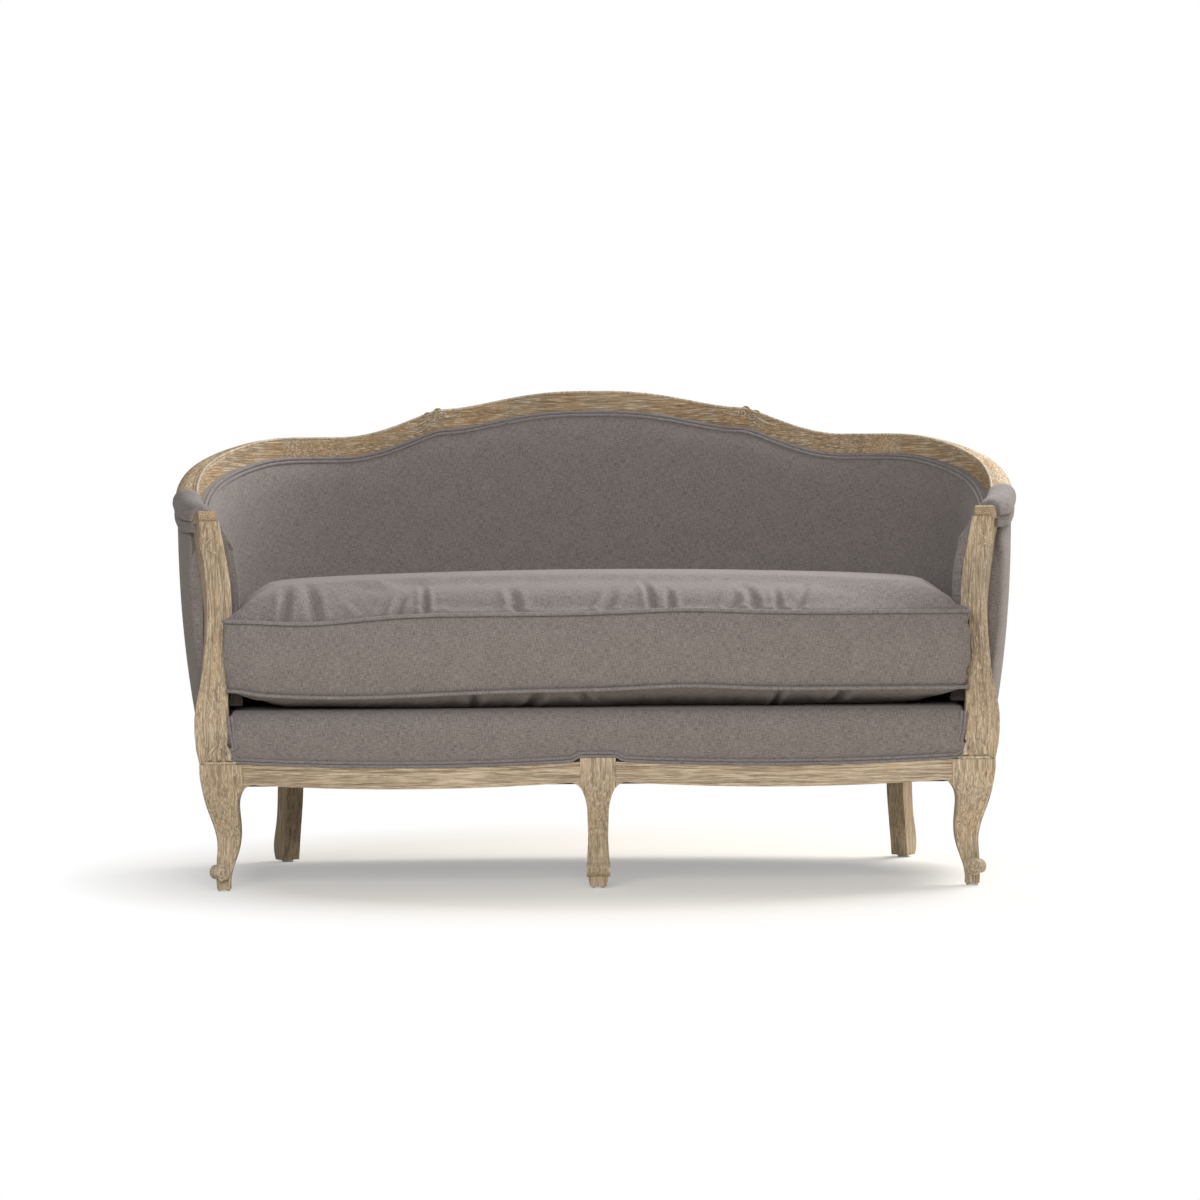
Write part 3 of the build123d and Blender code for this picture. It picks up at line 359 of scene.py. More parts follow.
def wall_spot(s, offset, z):
    """Point at that offset outward from the rail's centreline."""
    point, out = wall_point(s)
    return Vector((point.x + out.x * offset, point.y + out.y * offset, z))


def arm_station(setback):
    angle = asin((LEG_LINE + setback - arm_centre.y) / ARM_RADIUS)
    return back_span + corner_span + ARM_RADIUS * (arm_angle - angle)


rear_leg_s = back_span + CORNER_RADIUS * (back_angle - REAR_LEG_TURN)
post_back_s = arm_station(POST_BACK_SETBACK)


def ease(t):
    t = min(1.0, max(0.0, t))
    return t * t * (3 - 2 * t)


def quarter(t):
    """Height of a quarter circle, from 1 at t 0 down to 0 at t 1."""
    return sqrt(max(0.0, 1 - t**2))


def crest(x):
    x = abs(x)
    if x <= CREST_SCROLL_X:
        return CREST_RISE - (CREST_RISE - CREST_SCROLL_RISE) * ease((x / CREST_SCROLL_X) ** CREST_POWER)
    share = min(1.0, (x - CREST_SCROLL_X) / (CREST_SHOULDER_X - CREST_SCROLL_X))
    return CREST_SCROLL_RISE * (1 - ease(share**SHOULDER_POWER))


def arm_fall(y):
    run = max(0.0, LEG_LINE + ARM_FALL_SETBACK - y)
    length = run - ARM_FALL_START / 2 if run > ARM_FALL_START else run**2 / (2 * ARM_FALL_START)
    past = max(0.0, run - (ARM_FALL_SETBACK - ARM_FALL_END_SETBACK))
    return ARM_FALL_SLOPE * (length - past**2 / (2 * ARM_FALL_END))


def rail_top(s):
    point, _ = wall_point(s)
    return SHOULDER_HEIGHT + crest(point.x) - arm_fall(point.y)


def rail_bottom(s):
    point, _ = wall_point(s)
    share = ease((LEG_LINE + WIDEST_SETBACK - point.y) / WIDEST_SETBACK)
    return rail_top(s) - RAIL_HEIGHT + (RAIL_HEIGHT - RAIL_TIP_HEIGHT) * share


def backness(s):
    """1 in the middle of the back, 0 along the arms."""
    _, out = wall_point(s)
    return max(0.0, out.y) ** 2


def lean(s):
    return ARM_LEAN + (BACK_LEAN - ARM_LEAN) * backness(s)


def shift(s, z):
    """Inward lean of the wall at height z: nearly straight in the back, bellied in the arms."""
    share = (z - SEAT_RAIL_TOP) / (rail_bottom(s) - SEAT_RAIL_TOP)
    power = ARM_LEAN_POWER + (BACK_LEAN_POWER - ARM_LEAN_POWER) * backness(s)
    return -lean(s) * (1 - min(1.0, max(0.0, share))) ** power


def rail_outer(s):
    """Outer face of the top rail, which narrows to the width of the post at the arm's tip."""
    start, end = arm_station(ARM_TAPER_SETBACK), arm_station(ARM_TIP_SETBACK)
    return RAIL_WIDTH / 2 - (RAIL_WIDTH / 2 - ARM_TIP_OUTER) * ease((abs(s) - start) / (end - start))


def upright_edges(node):
    """Edges of an upright on the right, from the floor up: height, inner x, outer x and back y."""
    levels = {}
    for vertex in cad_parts[node].data.vertices:
        levels.setdefault(round(vertex.co.z, 3), []).append(vertex.co)
    edges = []
    for z, spots in sorted(levels.items()):
        if len(spots) > 6:
            across = [spot.x for spot in spots]
            edges.append((z, min(across), max(across), max(spot.y for spot in spots)))
    return edges


def edge_at(edges, z, side):
    """Inner edge at height z for side 1, outer edge for side 2, back for side 3."""
    for below, above in zip(edges, edges[1:]):
        if z <= above[0]:
            share = max(0.0, (z - below[0]) / (above[0] - below[0]))
            return below[side] + (above[side] - below[side]) * share
    return edges[-1][side]


POST_EDGES = upright_edges("arm_post_right")
LEG_EDGES = upright_edges("front_leg_right")


def post_inner(z):
    """Inner edge of the right arm post at height z."""
    return edge_at(POST_EDGES, z, 1)


def to_post(s, z):
    """Station s moved forward near the posts, so that covers run on to the back of the post at height z."""
    gap = wall_point(post_back_s)[0].y - edge_at(POST_EDGES, z, 3) + POST_LAP
    share = ease((abs(s) - post_back_s + POST_RUN) / POST_RUN)
    return s + (1 if s > 0 else -1) * max(0.0, gap) * share


def steps(start, end, count):
    """Even values from start to end, in count steps."""
    return [start + (end - start) * i / count for i in range(count + 1)]


def spread(start, end, step):
    """Even values from start to end, about step apart."""
    return steps(start, end, max(2, round(abs(end - start) / step)))


# Meshes


def grid_mesh(name, rows, around=False, caps=False):
    """Mesh of quads through rows of points, with UVs in metres; around closes each row on itself."""
    mesh = bpy.data.meshes.new(name)
    width = len(rows[0])
    points = [tuple(point) for row in rows for point in row]
    faces, uvs = [], []
    across = [0.0]
    middle = rows[len(rows) // 2]
    for a, b in zip(middle, middle[1:] + middle[:1]):
        across.append(across[-1] + (Vector(b) - Vector(a)).length)
    along = 0.0
    for r in range(len(rows) - 1):
        sampled = (0, width // 3, 2 * width // 3)
        step = max((Vector(rows[r + 1][c]) - Vector(rows[r][c])).length for c in sampled)
        for c in range(width if around else width - 1):
            n = (c + 1) % width
            faces.append((r * width + c, r * width + n, (r + 1) * width + n, (r + 1) * width + c))
            near, far = across[c], across[c + 1]
            uvs += [(along, near), (along, far), (along + step, far), (along + step, near)]
        along += step
    if caps:
        faces.append(tuple(reversed(range(width))))
        faces.append(tuple(range((len(rows) - 1) * width, len(rows) * width)))
        for row in (rows[0][::-1], rows[-1]):
            uvs += [(point[0] + point[1], point[2]) for point in row]
    mesh.from_pydata(points, [], faces)
    layer = mesh.uv_layers.new(name="UVMap")
    for corner, uv in zip(layer.data, uvs):
        corner.uv = uv
    mesh.polygons.foreach_set("use_smooth", [True] * len(mesh.polygons))
    face_outward(mesh)
    mesh.set_sharp_from_angle(angle=MESH_EDGE)
    return mesh


def closed_mesh(name, rows):
    return grid_mesh(name, rows, around=True, caps=True)


def face_outward(mesh):
    work = bmesh.new()
    work.from_mesh(mesh)
    bmesh.ops.recalc_face_normals(work, faces=work.faces)
    work.to_mesh(mesh)
    work.free()


def tube_rows(path, radius, sides=8, closed=False, tip=None):
    """Rings of points round a path, for grid_mesh, tapering from radius to tip where one is given."""
    rows = []
    tip = radius if tip is None else tip
    count = len(path)
    normal = None
    for i, point in enumerate(path):
        ahead = path[(i + 1) % count] if closed else path[min(i + 1, count - 1)]
        behind = path[i - 1] if closed or i else path[0]
        tangent = (ahead - behind).normalized()
        if normal is None:
            normal = tangent.orthogonal().normalized()
        normal = (normal - tangent * normal.dot(tangent)).normalized()
        binormal = tangent.cross(normal)
        turn = [2 * pi * k / sides for k in range(sides)]
        size = radius + (tip - radius) * i / (count - 1)
        rows.append([point + normal * (size * cos(a)) + binormal * (size * sin(a)) for a in turn])
    if closed:
        rows.append(rows[0])
    return rows


def round_cord(path, radius, tip=None):
    """Closed round cord or stroke along a path."""
    return closed_mesh("cord", tube_rows(path, radius, tip=tip))


def joined(name, meshes):
    """One mesh from several."""
    work = bmesh.new()
    for mesh in meshes:
        work.from_mesh(mesh)
        bpy.data.meshes.remove(mesh)
    mesh = bpy.data.meshes.new(name)
    work.to_mesh(mesh)
    work.free()
    return mesh


def add_piece(name, mesh, material, body="frame", nodes=()):
    """Puts a finished mesh into the scene on a body, in place of the named solids."""
    piece = bpy.data.objects.new(name, mesh)
    bpy.context.scene.collection.objects.link(piece)
    mesh.materials.clear()
    mesh.materials.append(material)
    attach(piece, body)
    if nodes:
        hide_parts(*nodes)
    return piece


# Shader groups


def new_group(name, inputs, outputs):
    """Empty shader group with sockets given as (name, type, default)."""
    group = bpy.data.node_groups.new(name, "ShaderNodeTree")
    for label, kind, default in inputs:
        socket = group.interface.new_socket(label, in_out="INPUT", socket_type=kind)
        if default is not None:
            socket.default_value = default
    for label, kind in outputs:
        group.interface.new_socket(label, in_out="OUTPUT", socket_type=kind)
    return group, Wiring(group)


def set_sockets(node, values):
    for name, value in values.items():
        node.inputs[name].default_value = value


class Wiring:
    """Short ways to add and link nodes in one tree."""

    def __init__(self, tree):
        self.tree = tree
        self.source = self.node("NodeGroupInput") if tree.name in bpy.data.node_groups else None
        self.target = self.node("NodeGroupOutput") if tree.name in bpy.data.node_groups else None

    def node(self, kind, **settings):
        made = self.tree.nodes.new(kind)
        for key, value in settings.items():
            setattr(made, key, value)
        return made

    def link(self, start, end):
        self.tree.links.new(start, end)

    def put(self, value, socket):
        """Links a socket, or sets a plain value."""
        if isinstance(value, bpy.types.NodeSocket):
            self.link(value, socket)
        else:
            socket.default_value = value

    def math(self, operation, first, second=0.0, clamp=False):
        made = self.node("ShaderNodeMath", operation=operation, use_clamp=clamp)
        self.put(first, made.inputs[0])
        self.put(second, made.inputs[1])
        return made.outputs[0]

    def plus(self, first, second):
        return self.math("ADD", first, second)

    def times(self, first, second):
        return self.math("MULTIPLY", first, second)

    def stretch(self, vector, scale):
        made = self.node("ShaderNodeVectorMath", operation="MULTIPLY")
        self.put(vector, made.inputs[0])
        self.put(scale, made.inputs[1])
        return made.outputs[0]

    def noise(self, vector, scale, detail=3.0, rough=0.55):
        made = self.node("ShaderNodeTexNoise")
        self.put(vector, made.inputs["Vector"])
        self.put(scale, made.inputs["Scale"])
        set_sockets(made, {"Detail": detail, "Roughness": rough})
        return made.outputs["Fac"]

    def ramp(self, value, low, high):
        """Value mapped so that low gives 0 and high gives 1."""
        made = self.node("ShaderNodeMapRange", clamp=True)
        self.put(value, made.inputs["Value"])
        set_sockets(made, {"From Min": low, "From Max": high})
        return made.outputs["Result"]

    def mix(self, share, first, second, blend="MIX"):
        made = self.node("ShaderNodeMix", data_type="RGBA", blend_type=blend)
        self.put(share, made.inputs[0])
        self.put(first, made.inputs[6])
        self.put(second, made.inputs[7])
        return made.outputs[2]


def limed_grain_group():
    """Oak figure: dark streaks along the grain, pale lime in the pores, worn and grimy patches."""
    group, w = new_group(
        "limed grain",
        [
            ("Vector", "NodeSocketVector", None),
            ("Stretch", "NodeSocketVector", (1.0, 1.0, 1.0)),
            ("Wood", "NodeSocketColor", (0.3, 0.22, 0.14, 1)),
            ("Dark", "NodeSocketColor", (0.14, 0.09, 0.05, 1)),
            ("Lime", "NodeSocketColor", (0.6, 0.54, 0.44, 1)),
        ],
        [("Color", "NodeSocketColor"), ("Height", "NodeSocketFloat"), ("Roughness", "NodeSocketFloat")],
    )
    place, wood = w.source.outputs["Vector"], w.source.outputs["Wood"]
    dark, lime = w.source.outputs["Dark"], w.source.outputs["Lime"]
    grain = w.stretch(place, w.source.outputs["Stretch"])
    streak = w.noise(grain, 190.0, 6.0, 0.65)
    fibre = w.noise(grain, 560.0, 4.0, 0.7)
    pores = w.ramp(w.noise(grain, 900.0, 2.0, 0.5), 0.53, 0.62)
    worn = w.ramp(w.noise(place, 16.0, 4.0, 0.6), 0.46, 0.7)
    grime = w.ramp(w.noise(place, 8.0, 3.0, 0.6), 0.45, 0.68)
    tone = w.mix(w.times(worn, 0.4), wood, lime)
    tone = w.mix(w.times(grime, 0.45), tone, dark)
    tone = w.mix(w.times(w.ramp(streak, 0.46, 0.62), 0.6), tone, dark)
    tone = w.mix(w.times(w.ramp(fibre, 0.5, 0.62), 0.75), tone, lime)
    tone = w.mix(w.times(pores, 0.45), tone, dark)
    w.link(tone, w.target.inputs["Color"])
    height = w.math("SUBTRACT", w.times(fibre, 0.8), w.times(pores, 0.9))
    w.link(w.plus(height, w.times(streak, 0.8)), w.target.inputs["Height"])
    w.link(w.plus(0.55, w.times(fibre, 0.3)), w.target.inputs["Roughness"])
    return group


def rail_run_group():
    """Follows the arms round the tub's corners: distance from the corner's centre, run along, height."""
    group, w = new_group(
        "rail run", [("Vector", "NodeSocketVector", None)], [("Vector", "NodeSocketVector")]
    )
    split = w.node("ShaderNodeSeparateXYZ")
    w.link(w.source.outputs["Vector"], split.inputs[0])
    out = w.math("SUBTRACT", w.math("ABSOLUTE", split.outputs[0]), corner_centre.x)
    behind = w.math("MAXIMUM", w.math("SUBTRACT", split.outputs[1], corner_centre.y), 0.0)
    reach = w.math("SQRT", w.plus(w.math("POWER", out, 2.0), w.math("POWER", behind, 2.0)))
    turn = w.times(w.math("ARCTAN2", behind, out), CORNER_RADIUS)
    run = w.plus(w.math("MINIMUM", split.outputs[1], corner_centre.y), turn)
    joined_up = w.node("ShaderNodeCombineXYZ")
    for value, socket in zip((reach, run, split.outputs[2]), joined_up.inputs):
        w.link(value, socket)
    w.link(joined_up.outputs[0], w.target.inputs["Vector"])
    return group


def cloth_plane_group():
    """Lays cloth flat on a shape that has no UVs: the two axes that the surface runs along."""
    group, w = new_group("cloth plane", [], [("Vector", "NodeSocketVector")])
    place = w.node("ShaderNodeSeparateXYZ")
    w.link(w.node("ShaderNodeTexCoord").outputs["Object"], place.inputs[0])
    facing = w.node("ShaderNodeSeparateXYZ")
    w.link(w.node("ShaderNodeNewGeometry").outputs["Normal"], facing.inputs[0])
    x_share, y_share, z_share = (w.math("ABSOLUTE", socket) for socket in facing.outputs)
    upright = w.math("LESS_THAN", z_share, 0.62)
    sideways = w.times(w.math("GREATER_THAN", x_share, y_share), upright)
    flat = w.node("ShaderNodeCombineXYZ")
    for share, start, end, socket in (
        (sideways, place.outputs[0], place.outputs[1], flat.inputs[0]),
        (upright, place.outputs[1], place.outputs[2], flat.inputs[1]),
    ):
        step = w.times(w.math("SUBTRACT", end, start), share)
        w.link(w.plus(start, step), socket)
    w.link(flat.outputs[0], w.target.inputs["Vector"])
    return group


def linen_weave_group():
    """Plain weave with slubs: crossed threads, heathered yarns both ways and soft mottling."""
    group, w = new_group(
        "linen weave",
        [
            ("Vector", "NodeSocketVector", None),
            ("Thread Pitch", "NodeSocketFloat", 0.0009),
            ("Cloth", "NodeSocketColor", (0.2, 0.18, 0.17, 1)),
            ("Pale Yarn", "NodeSocketColor", (0.3, 0.27, 0.26, 1)),
            ("Dark Yarn", "NodeSocketColor", (0.12, 0.105, 0.1, 1)),
        ],
        [("Color", "NodeSocketColor"), ("Height", "NodeSocketFloat")],
    )
    place = w.source.outputs["Vector"]
    pale, dark = w.source.outputs["Pale Yarn"], w.source.outputs["Dark Yarn"]
    split = w.node("ShaderNodeSeparateXYZ")
    w.link(place, split.inputs[0])
    turn = w.math("DIVIDE", pi, w.source.outputs["Thread Pitch"])
    warp = w.math("ABSOLUTE", w.math("SINE", w.times(split.outputs[0], turn)))
    weft = w.math("ABSOLUTE", w.math("SINE", w.times(split.outputs[1], turn)))
    threads = w.times(warp, weft)
    slub_warp = w.noise(w.stretch(place, (820.0, 95.0, 1.0)), 1.0, 3.0, 0.6)
    slub_weft = w.noise(w.stretch(place, (95.0, 820.0, 1.0)), 1.0, 3.0, 0.6)
    speckle = w.noise(w.stretch(place, (640.0, 640.0, 1.0)), 1.0, 2.0, 0.6)
    mottle = w.noise(place, 26.0, 3.0, 0.6)
    light_yarn = w.math("MAXIMUM", slub_warp, slub_weft)
    dark_yarn = w.math("MINIMUM", slub_warp, slub_weft)
    tone = w.mix(w.ramp(light_yarn, 0.5, 0.75), w.source.outputs["Cloth"], pale)
    tone = w.mix(w.ramp(dark_yarn, 0.46, 0.28), tone, dark)
    tone = w.mix(w.times(w.ramp(speckle, 0.48, 0.72), 0.5), tone, dark)
    tone = w.mix(w.times(w.ramp(mottle, 0.42, 0.7), 0.15), tone, pale)
    shade = w.plus(0.84, w.times(threads, 0.3))
    grey = w.node("ShaderNodeCombineColor")
    for channel in grey.inputs:
        w.link(shade, channel)
    w.link(w.mix(1.0, tone, grey.outputs[0], "MULTIPLY"), w.target.inputs["Color"])
    relief = w.plus(w.times(threads, 0.6), w.times(speckle, 0.7))
    w.link(w.plus(relief, w.times(light_yarn, 0.7)), w.target.inputs["Height"])
    return group


def new_material(name):
    material = bpy.data.materials.new(name)
    material.use_nodes = True
    material.node_tree.nodes.clear()
    w = Wiring(material.node_tree)
    output = w.node("ShaderNodeOutputMaterial")
    shader = w.node("ShaderNodeBsdfPrincipled")
    w.link(shader.outputs["BSDF"], output.inputs["Surface"])
    return material, w, shader


def add_bump(w, shader, height, strength, distance):
    bump = w.node("ShaderNodeBump")
    set_sockets(bump, {"Strength": strength, "Distance": distance})
    w.link(height, bump.inputs["Height"])
    w.link(bump.outputs["Normal"], shader.inputs["Normal"])


def oak_material(name, stretch, finish, follows_rail=False, painted_light_and_lime=0.0):
    """Limed oak with its grain along the axis that stretch leaves long; its last argument mixes the wood
    towards the lime colour as painted light where it is above 0 and away from it as painted shade where it
    is below 0, and on the carving it also stands for real lime on the edges.
    """
    material, w, shader = new_material(name)
    figure = w.node("ShaderNodeGroup", node_tree=bpy.data.node_groups["limed grain"])
    place = w.node("ShaderNodeTexCoord").outputs["Object"]
    if follows_rail:
        run = w.node("ShaderNodeGroup", node_tree=bpy.data.node_groups["rail run"])
        w.link(place, run.inputs["Vector"])
        place = run.outputs["Vector"]
    w.link(place, figure.inputs["Vector"])
    # Painted light mixes the wood towards the lime colour, and painted shade mixes it away from the lime
    # where the last argument is below 0
    tone = [wood + (lime - wood) * painted_light_and_lime for wood, lime in zip(finish.wood, finish.lime)]
    colours = {"Wood": (*tone, 1), "Dark": (*finish.wood_dark, 1), "Lime": (*finish.lime, 1)}
    set_sockets(figure, {"Stretch": stretch, **colours})
    w.link(figure.outputs["Color"], shader.inputs["Base Color"])
    w.link(figure.outputs["Roughness"], shader.inputs["Roughness"])
    shader.inputs["Specular IOR Level"].default_value = 0.3
    add_bump(w, shader, figure.outputs["Height"], 0.6, 0.0009)
    return material


def linen_material(name, cloth, finish, has_uvs=True):
    """Linen on the UVs, or laid on the shape's own axes where a piece has none."""
    material, w, shader = new_material(name)
    weave = w.node("ShaderNodeGroup", node_tree=bpy.data.node_groups["linen weave"])
    if has_uvs:
        w.link(w.node("ShaderNodeTexCoord").outputs["UV"], weave.inputs["Vector"])
    else:
        flat = w.node("ShaderNodeGroup", node_tree=bpy.data.node_groups["cloth plane"])
        w.link(flat.outputs["Vector"], weave.inputs["Vector"])
    yarns = {"Pale Yarn": (*finish.linen_pale, 1), "Dark Yarn": (*finish.linen_dark, 1)}
    set_sockets(weave, {"Thread Pitch": finish.thread_pitch, "Cloth": (*cloth, 1), **yarns})
    w.link(weave.outputs["Color"], shader.inputs["Base Color"])
    set_sockets(shader, {"Roughness": 0.92, "Specular IOR Level": 0.2})
    set_sockets(shader, {"Sheen Weight": 0.2, "Sheen Tint": (1, 0.93, 0.9, 1), "Sheen Roughness": 0.45})
    add_bump(w, shader, weave.outputs["Height"], 0.45, 0.0005)
    return material


def plain_material(name, colour, roughness, metallic=0.0):
    """A hidden or small finish: one colour broken by fine noise."""
    material, w, shader = new_material(name)
    speck = w.noise(w.node("ShaderNodeTexCoord").outputs["Object"], 240.0, 3.0)
    darker = tuple(0.72 * channel for channel in colour)
    w.link(w.mix(speck, (*colour, 1), (*darker, 1)), shader.inputs["Base Color"])
    set_sockets(shader, {"Roughness": roughness, "Metallic": metallic})
    return material


# Settings


def colour_setting(label, words, default):
    return bpy.props.FloatVectorProperty(
        name=label, description=words, subtype="COLOR", size=3, min=0, max=1, default=default
    )


def length_setting(label, words, default):
    return bpy.props.FloatProperty(
        name=label, description=words, default=default, unit="LENGTH", precision=4
    )


class SetteeFinish(bpy.types.PropertyGroup):
    """Colours of the oak, the linen and the small parts."""

    wood: colour_setting("Wood", "Limed oak between its streaks", (0.56, 0.42, 0.27))
    wood_dark: colour_setting("Dark Grain", "Streaks and open pores of the oak", (0.17, 0.12, 0.075))
    lime: colour_setting("Lime", "Pale lime left in the grain", (0.80, 0.70, 0.54))
    linen: colour_setting("Linen", "Taupe linen of every cover", (0.235, 0.206, 0.193))
    linen_pale: colour_setting("Pale Yarn", "Slubs in the linen", (0.38, 0.34, 0.318))
    linen_dark: colour_setting("Dark Yarn", "Shaded yarn in the linen", (0.105, 0.09, 0.084))
    # The welt colour is painted lighter than the linen: painted light against the shade the cords cast on
    # each other
    welt: colour_setting("Welt", "Corded welts, cut on the bias", (0.25, 0.228, 0.228))
    thread_pitch: length_setting("Thread Pitch", "Distance between threads of the linen", 0.0011)


class SetteeStuffing(bpy.types.PropertyGroup):
    """Sizes of the padding, the cushion and the welts."""

    back_padding: length_setting("Back Padding", "Thickness of the padding inside the back and arms", 0.036)
    border_swell: length_setting("Border Swell", "How far the deck's front border bulges", 0.004)
    cushion_crown: length_setting("Cushion Crown", "Rise of the cushion above its top welt", 0.057)
    cushion_top_welt: length_setting("Top Welt Height", "Height of the cushion's top welt", 0.468)
    cushion_low_welt: length_setting("Lower Welt Height", "Height of the cushion's lower welt", 0.339)
    cushion_swell: length_setting("Cushion Swell", "How far the cushion's sides bulge", 0.006)
    piping_radius: length_setting("Piping Radius", "Radius of the piping on the arms' front edges", 0.0023)
    welt_radius: length_setting("Welt Radius", "Radius of one cord of the double welt", 0.0029)
    cushion_welt_radius: length_setting("Cushion Welt Radius", "Radius of the cushion's welts", 0.0033)
    arm_pad_rise: length_setting("Arm Pad Rise", "Rise of the arm pads above the rail", 0.015)


# Operators


class SETTEE_OT_finish_wood(bpy.types.Operator):
    """Gives the show-wood, the hidden frame and the small parts their finishes"""

    bl_idname = "settee.finish_wood"
    bl_label = "Finish Wood"

    def execute(self, context):
        finish = context.scene.settee_finish
        limed_grain_group()
        rail_run_group()
        cloth_plane_group()
        linen_weave_group()
        # The carving is painted paler: painted highlight on the raised strokes, partly real lime on their
        # edges
        oak_material("limed carving", (1.0, 1.0, 0.2), finish, painted_light_and_lime=0.55)
        finishes = (
            # The rails along x are painted lighter: painted light, against the crest's painted shade on the
            # same oak
            (WOOD_ALONG_X, oak_material("oak along x", (GRAIN, 1.0, 1.0), finish, painted_light_and_lime=0.2)),
            # The arm rails are painted darker: painted shade on their tops, which the lamps only graze
            (WOOD_ALONG_Y, oak_material("oak along the arms", (1.0, GRAIN, 1.0), finish, True, -0.5)),
            # The crest is painted darker: painted shade on its front, which the lamps light more weakly
            # than the front rail
            (("crest_rail",), oak_material("oak crest", (GRAIN, 1.0, 1.0), finish, painted_light_and_lime=-0.5)),
            (WOOD_UPRIGHT, oak_material("oak upright", (1.0, 1.0, GRAIN), finish)),
            (HIDDEN_WOOD, plain_material("sawn beech", (0.55, 0.42, 0.28), 0.75)),
            (("corner_screws",), plain_material("zinc", (0.55, 0.55, 0.55), 0.35, 1.0)),
            (("foot_glides",), plain_material("pale glide", (0.75, 0.73, 0.68), 0.5)),
            (("seat_webbing", "back_webbing"), plain_material("jute", (0.32, 0.25, 0.16), 0.9)),
        )
        for nodes, material in finishes:
            for node in nodes:
                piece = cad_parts[node]
                piece.data.materials.clear()
                piece.data.materials.append(material)
                self.smooth(piece)
        return {"FINISHED"}

    def smooth(self, piece):
        """Shades a solid smoothly between its true edges."""
        if "custom_normal" in piece.data.attributes:
            piece.data.attributes.remove(piece.data.attributes["custom_normal"])
        piece.data.polygons.foreach_set("use_smooth", [True] * len(piece.data.polygons))
        piece.modifiers.new("join faces", "WELD").merge_threshold = WELD_REACH
        piece.modifiers.new("true edges", "EDGE_SPLIT").split_angle = SOLID_EDGE


def front_of(node, x, z):
    """Point of a solid's front at x and z, or None beside it."""
    hit, spot, _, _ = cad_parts[node].ray_cast((x, -1.0, z), (0.0, 1.0, 0.0))
    return spot if hit else None


def carved(node, way, outline, radius, tip=None):
    """A rounded stroke of wood, partly sunk in a solid's front: given by x and z, mirrored for way -1."""
    spots = []
    for x, z in outline:
        spot = front_of(node, way * x, z)
        if spot:
            spots.append(spot - Vector((0, STROKE_STAND * radius, 0)))
        elif spots:
            spots.append(Vector((way * x, spots[-1].y, z)))
    return round_cord(spots, radius, tip)


def spiral(middle, reach, turns, start, way):
    """Points of a volute winding inwards about its middle."""
    x, z = middle
    points = []
    for t in steps(0, 1, int(turns * VOLUTE_POINTS)):
        angle = start + way * 2 * pi * turns * t
        size = reach * (1 - VOLUTE_SHRINK * t)
        points.append((x + size * cos(angle), z + size * sin(angle)))
    return points


